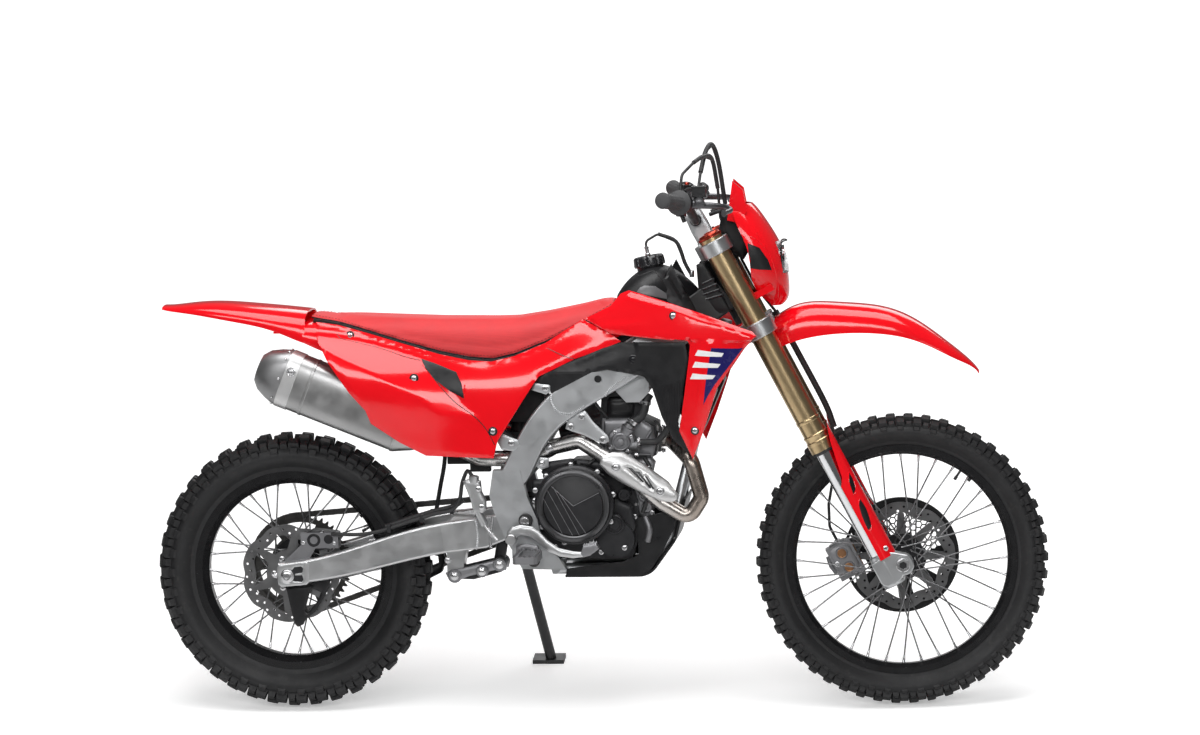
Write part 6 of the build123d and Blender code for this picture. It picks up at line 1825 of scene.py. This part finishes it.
add_to_fork("mask_creases",
            [both(line_on(mask_face,
                          [(1140, 1150), (1164, 1112), (1182, 1068), (1192, 1020), (1192, 986)], 1.4,
                          lift=-0.7)),
             both(line_on(mask_face, [(1112, 1140), (1140, 1132), (1166, 1108)], 1.3, lift=-0.6))], RED)
vent = [(1122, 1122), (1150, 1110), (1170, 1080), (1178, 1056), (1150, 1058), (1128, 1062), (1124, 1090)]
add_to_fork("mask_side_openings", [both(sheet(vent, mask_face, rolled(0.3, 3, 0.5), 0.8, 6))], BLACK)
bowl = []
for r, x in ((56, 1208), (50, 1196), (38, 1180), (22, 1170), (9, 1167)):
    bowl.append([(x, r * math.cos(a), 1084 + r * 0.62 * math.sin(a))
                 for a in np.linspace(0, 2 * math.pi, 40, endpoint=False)])
add_to_fork("lamp_reflector", [tunnel(bowl, open_start=True)], CHROME)
add_to_fork("lamp_bulb",
            [barrel((1168, 0, 1084), (1, 0, 0.1),
                    [(7, 0), (8, 6), (9, 14), (7, 20), (3, 23), (0.01, 23.5)], 24)], GLASS_BULB)
frame_ring = [swept([(1214 - 4.2 * abs(y) / 57 * 3, y, z)
                     for y, z in [(-57, 1050), (-58, 1084), (-57, 1118), (0, 1122), (57, 1118),
                                  (58, 1084), (57, 1050), (0, 1047), (-57, 1050)]], 2.4, 10)]
add_to_fork("lamp_bezel", frame_ring, GLOSS_BLACK)
straps = [tube([(1095, side * 70, 1206), (1060, side * 88, 1200), (1032, side * 84, 1190)], 5, 12)
          for side in (-1, 1)]
box = sheet([(1052, 1148), (1060, 1190), (1100, 1196), (1126, 1180), (1130, 1110), (1112, 1080),
             (1076, 1096)], level(-46), rolled(4, 8, 0, 3, 20), 92, 9)
add_to_fork("dash_housing", [box, *straps], BLACK, bevel=0.8)

# ------------------------------------------------ handlebar and controls
BAR_END, BAR_BEND = Vector((-25, 402, 1038)), Vector((14, 230, 1000))


def bar_point(v, side):
    """A point of the handlebar on one side."""
    return FORK @ Vector((v.x, v.y * side, v.z))


def bar_frame(side, along):
    """A frame on the grip's axis, along millimetres in from its end, with +Z outward."""
    end, inner = bar_point(BAR_END, side), bar_point(BAR_BEND, side)
    way = (end - inner).normalized()
    return aim(end - way * along, way)


ribs = [(16.2, 0), (17, -1.5), (19, -2), (19.4, -4), (18.6, -6)]
for i in range(22):
    h = -8 - i * 4.6
    ribs += [(16.6, h), (18.3, h - 0.7), (18.3, h - 2.9), (16.6, h - 3.6)]
ribs += [(17, -111), (19, -113), (27, -116), (29.5, -118), (29.5, -121), (24, -123), (17, -124)]


def grip_wobble(a, r, h):
    """The grip's fine grooves."""
    return -0.7 if r > 18 and -108 < h < -8 and (a / (2 * math.pi) * 14) % 1 < 0.22 else 0.0


grips, housings = [], []
for side in (-1, 1):
    end = lathe([(0.01, 1.6), (10, 1.6), (14, 0.8), (16.2, 0)] + ribs[1:], 84, wobble=grip_wobble)
    grips.append(moved(end, bar_frame(side, 0)))
add_to_fork("grips", grips, GRIP_RUBBER)
throttle = lathe([(19, -126), (25, -127), (26, -130), (26, -146), (24, -149), (13, -150)], 40)
housings.append(moved(throttle, bar_frame(-1, 0)))
housings.append(moved(merge(brick((0, 0, -138), (20, 62, 18)),
                            tube([(0, -22, -138), (2, -30, -138), (8, -44, -138)], 5, 14)),
                      bar_frame(-1, 0)))
switch = lathe([(13, -132), (20, -133), (21, -136), (21, -154), (19, -158), (13, -159)], 36)
housings.append(moved(merge(switch, brick((4, 18, -145), (20, 14, 20))), bar_frame(1, 0)))
add_to_fork("throttle_housing", housings, BLACK, bevel=0.8)
add_to_fork("kill_button",
            [moved(lathe([(6, 0), (6, 4), (5, 6), (0.01, 6.5)], 24),
                   bar_frame(1, 145) @ aim((4, 25, 0), (0, 1, 0)))], ANODISED_RED, slot="red_plastic")


def controls(side):
    """The perch, the reservoir or adjuster, and the lever of one side, where the frame has them."""
    start, end = bar_point(BAR_BEND, side), bar_point(BAR_END, side)
    way = (end - start).normalized()
    centre = start + way * 24
    front = centre + Vector((34, 0, -4))
    outer_end, inner_end = front + Vector((4, side * 24, 4)), front + Vector((-2, -side * 48, 14))
    metal, plastic, screws = [], [], []
    metal.append(tube([centre - way * 11, centre, centre + way * 11], 18, 28))
    metal.append(swept([centre + Vector((12, 0, 0)), (centre + front) / 2, front], 10.5, 18))
    along = (inner_end - outer_end).normalized()
    metal.append(barrel(outer_end, along,
                        [(9, 0), (12, 2), (12, 30), (13, 32), (13, 40), (12, 42), (12, 66), (9, 70),
                         (6, 71), (6, 76)], 28))
    middle = (outer_end + inner_end) / 2 + Vector((0, -side * 12, 20))
    if side < 0:
        plastic.append(brick(middle, (33, 47, 22)))
        plastic.append(moved(brick((0, 0, 12.5), (35, 49, 4)), Matrix.Translation(middle)))
        for dx in (-11, 11):
            screws.append(bolt(middle + Vector((dx, 16, 14.5)), (0, 0, 1), 3.2, 1.6, "socket"))
        for dz in (-10, -7.5, -5, -2.5):
            plastic.append(moved(brick((0, 0, dz), (33.8, 47.8, 1.1)), Matrix.Translation(middle)))
    else:
        plastic.append(barrel(middle - Vector((0, 0, 6)), (-0.3, -side, 0.3),
                              [(9, -10), (12, -8), (12, 8), (9, 11), (5, 12), (5, 20)], 24))
    lever = [front + Vector((x, side * y, z))
             for x, y, z in ((0, 4, 0), (40, 18, -2), (66, 44, -5), (78, 90, -9), (70, 132, -12),
                             (62, 158, -14))]
    path = smooth(lever, 6)
    share = np.linspace(0, 1, len(path))
    radii = 8.5 - 3.2 * share + 3.4 * np.exp(-((share - 1) / 0.03) ** 2)
    metal.append(tube(path, radii, 14, flat=0.72))
    screws.append(bolt(front + Vector((0, 0, 9)), (0, 0, 1), 6, 3))
    screws.append(bolt(centre + Vector((-17, 0, 0)), (-1, 0, 0), 4, 4, "socket"))
    return metal, plastic, screws


perches, reservoirs, control_screws = (sum(lists, []) for lists in zip(controls(-1), controls(1)))
add_to_fork("lever_perches", perches, LEVER_METAL, replaces=["bar_controls"])
add_to_fork("reservoirs", reservoirs, BLACK, bevel=1.2)
add_to_fork("control_screws", control_screws, STEEL)

# ------------------------------------------------ what shows behind the frame, and the far side
add("rear_straps",
    [swept([(384, -46, 660), (380, -47, 600), (368, -48, 540), (356, -50, 478)], 5.2, 16, 12),
     swept([(500, -58, 640), (484, -60, 606), (452, -58, 590)], 7, 14, 8),
     brick((356, -50, 482), (26, 14, 12)), brick((420, -60, 612), (60, 18, 26)),
     brick((470, -60, 598), (50, 18, 36))], BLACK, bevel=2.0)
HEAD_COVER = [(905, 1008), (942, 1076), (969, 1024), (990, 982), (1013, 937), (984, 948), (930, 990)]
head_face = face_of("main_frame")
add("frame_head_covers",
    [both(sheet(HEAD_COVER, head_face, rolled(1.5, 5, 3), 3, 8)),
     *[both(line_on(lambda x, z: (head_face(x, z) or -60) - 3,
                    [(928 + 14 * i, 1006 - 9 * i), (946 + 14 * i, 1040 - 15 * i)], 1.8))
       for i in range(3)]], BLACK)


def fork_path(points):
    """Points from the fork's own frame."""
    return [tuple(FORK @ Vector(p)) for p in points]


sleeves = [swept([(1014, -120, 1292), (1026, -70, 1340), (1040, -10, 1354), (1054, 24, 1310),
                  (1068, 40, 1210)], 5.6, 14, 9),
           swept([(1000, -190, 1318), (1022, -120, 1330), (1040, -40, 1320), (1052, -20, 1250)], 5.2, 14,
                 9),
           swept(fork_path([(66, 107, 664), (67, 105, 540), (67, 102, 410), (60, 86, 350)]), 7.5, 18, 12)]
add_to_fork("hose_sleeves", sleeves, RUBBER)
add("breather_sleeve",
    [swept([(905, 6, 1142), (948, 12, 1122), (968, 14, 1070), (984, 14, 1040)], 4.6, 14, 8)], RUBBER)

legs = []
LUG = [(-9, 36), (-9, -16), (-4, -26), (6, -30), (34, -30), (42, -27)]
LUG += [polar(25.5, a, AXLE_AHEAD) for a in np.radians(np.linspace(-118, 62, 25))]
LUG += [(56, 34), (44, 42)]
for side in (-1, 1):
    low, high = sorted((side * 80.5, side * 135.6))
    legs.append(moved(prism(LUG, low, high), FORK))
    legs.append(moved(lathe([(24, -36), (28.2, -33), (28.8, -28), (28.8, 40), (27.4, 46), (25, 48)], 48),
                      LEG[side]))
add_to_fork("slider_lugs", legs, CLAMP_METAL, replaces=["fork_sliders"], bevel=2.4)
add_to_fork("slider_tubes", [moved(lathe([(24.5, 40), (24.5, 412)], 64), LEG[side]) for side in (-1, 1)],
            CHROME)

add_to_fork("axle_hex",
            [moved(prism([polar(9, a, AXLE_AHEAD) for a in np.radians(range(0, 360, 60))], -142.6,
                         -141.2), FORK)], BLACK_METAL)


def valve(radius, angle, tilt):
    """A valve stem and a rim lock's nut, on the inner side of a rim."""
    out = []
    for turn, steps in ((angle,
                         [(4.6, -6), (4.6, 2), (3.0, 3), (3.0, 24), (4.0, 25), (4.0, 34), (0.01, 35)]),
                        (angle + tilt,
                         [(7.5, -4), (7.5, 3), (6.2, 4), (4.0, 4.4), (4.0, 17), (0.01, 18)])):
        x, z = radius * math.cos(turn), radius * math.sin(turn)
        out.append(barrel((x, 0, z), (-math.cos(turn), 0, -math.sin(turn)), steps, 18))
    return out


add("front_valve", valve(262, 0.97, -0.12), BLACK_METAL, body="front_wheel", matrix=FRONT_WHEEL)
add("rear_valve", valve(224, 0.50, 0.16), BLACK_METAL, body="rear_wheel", matrix=REAR_WHEEL)

# ------------------------------------------------ stage
FLOOR_SIZE = 60
GLOW_NEAR, GLOW_FROM, GLOW_TO = 0.38, 1500, 6500  # the floor's glow and where it grows, in millimetres
WORLD_LIGHT = 0.11


def stage():
    """A pale floor that glows to white far off, four soft lamps and a white world."""
    bpy.ops.mesh.primitive_plane_add(size=FLOOR_SIZE, location=(0, 0, 0))
    floor = bpy.context.object
    floor.name = "floor"
    s = Shade("pale_floor")
    grain = s.bump(s.noise(0.02, 3, 0.5), 0.02, 0.001)
    tone = s.mix(s.span(s.noise(0.0006, 3, 0.5), 0, 1), (0.90, 0.90, 0.90), (0.92, 0.92, 0.92))
    x, y, _ = s.axes()
    away = s.math("SQRT", s.math("ADD", s.math("MULTIPLY", x, x), s.math("MULTIPLY", y, y)))
    seen = s.node("LightPath").outputs["Is Camera Ray"]
    glow = s.math("MULTIPLY", seen, s.span(away, GLOW_NEAR, 1.0, GLOW_FROM, GLOW_TO))
    s.set(base_color=tone, roughness=0.9, normal=grain, emission_color=(1, 1, 1, 1),
          emission_strength=glow)
    floor.data.materials.append(s.mat)

    def lamp(name, place, target, size, power):
        data = bpy.data.lights.new(name, "AREA")
        data.shape, data.size, data.size_y, data.energy = "RECTANGLE", size[0], size[1], power
        obj = bpy.data.objects.new(name, data)
        bpy.context.scene.collection.objects.link(obj)
        obj.location = place
        obj.rotation_euler = (Vector(target) - Vector(place)).to_track_quat("-Z", "Y").to_euler()

    lamp("top", (0.1, -0.3, 3.6), (0, 0, 0.5), (4.2, 2.2), 135)
    lamp("key", (-0.4, -4.6, 3.3), (0, 0, 0.7), (6.0, 1.0), 125)
    lamp("fill", (3.4, -4.4, 1.0), (0, 0, 0.5), (1.4, 1.4), 10)
    lamp("back", (0.5, 4.6, 2.6), (0, 0, 0.6), (4.0, 2.0), 60)
    world = bpy.data.worlds.new("studio")
    bpy.context.scene.world = world
    world.use_nodes = True
    tree = world.node_tree
    background = tree.nodes["Background"]
    path = tree.nodes.new("ShaderNodeLightPath")
    most = tree.nodes.new("ShaderNodeMath")
    most.operation = "MAXIMUM"
    tree.links.new(path.outputs["Is Camera Ray"], most.inputs[0])
    tree.links.new(path.outputs["Is Transmission Ray"], most.inputs[1])
    strength = tree.nodes.new("ShaderNodeMapRange")
    strength.inputs["To Min"].default_value = WORLD_LIGHT
    strength.inputs["To Max"].default_value = 1.0
    tree.links.new(most.outputs[0], strength.inputs["Value"])
    tree.links.new(strength.outputs["Result"], background.inputs["Strength"])
    background.inputs["Color"].default_value = (1, 1, 1, 1)


stage()
bpy.context.scene.view_settings.view_transform = "Standard"
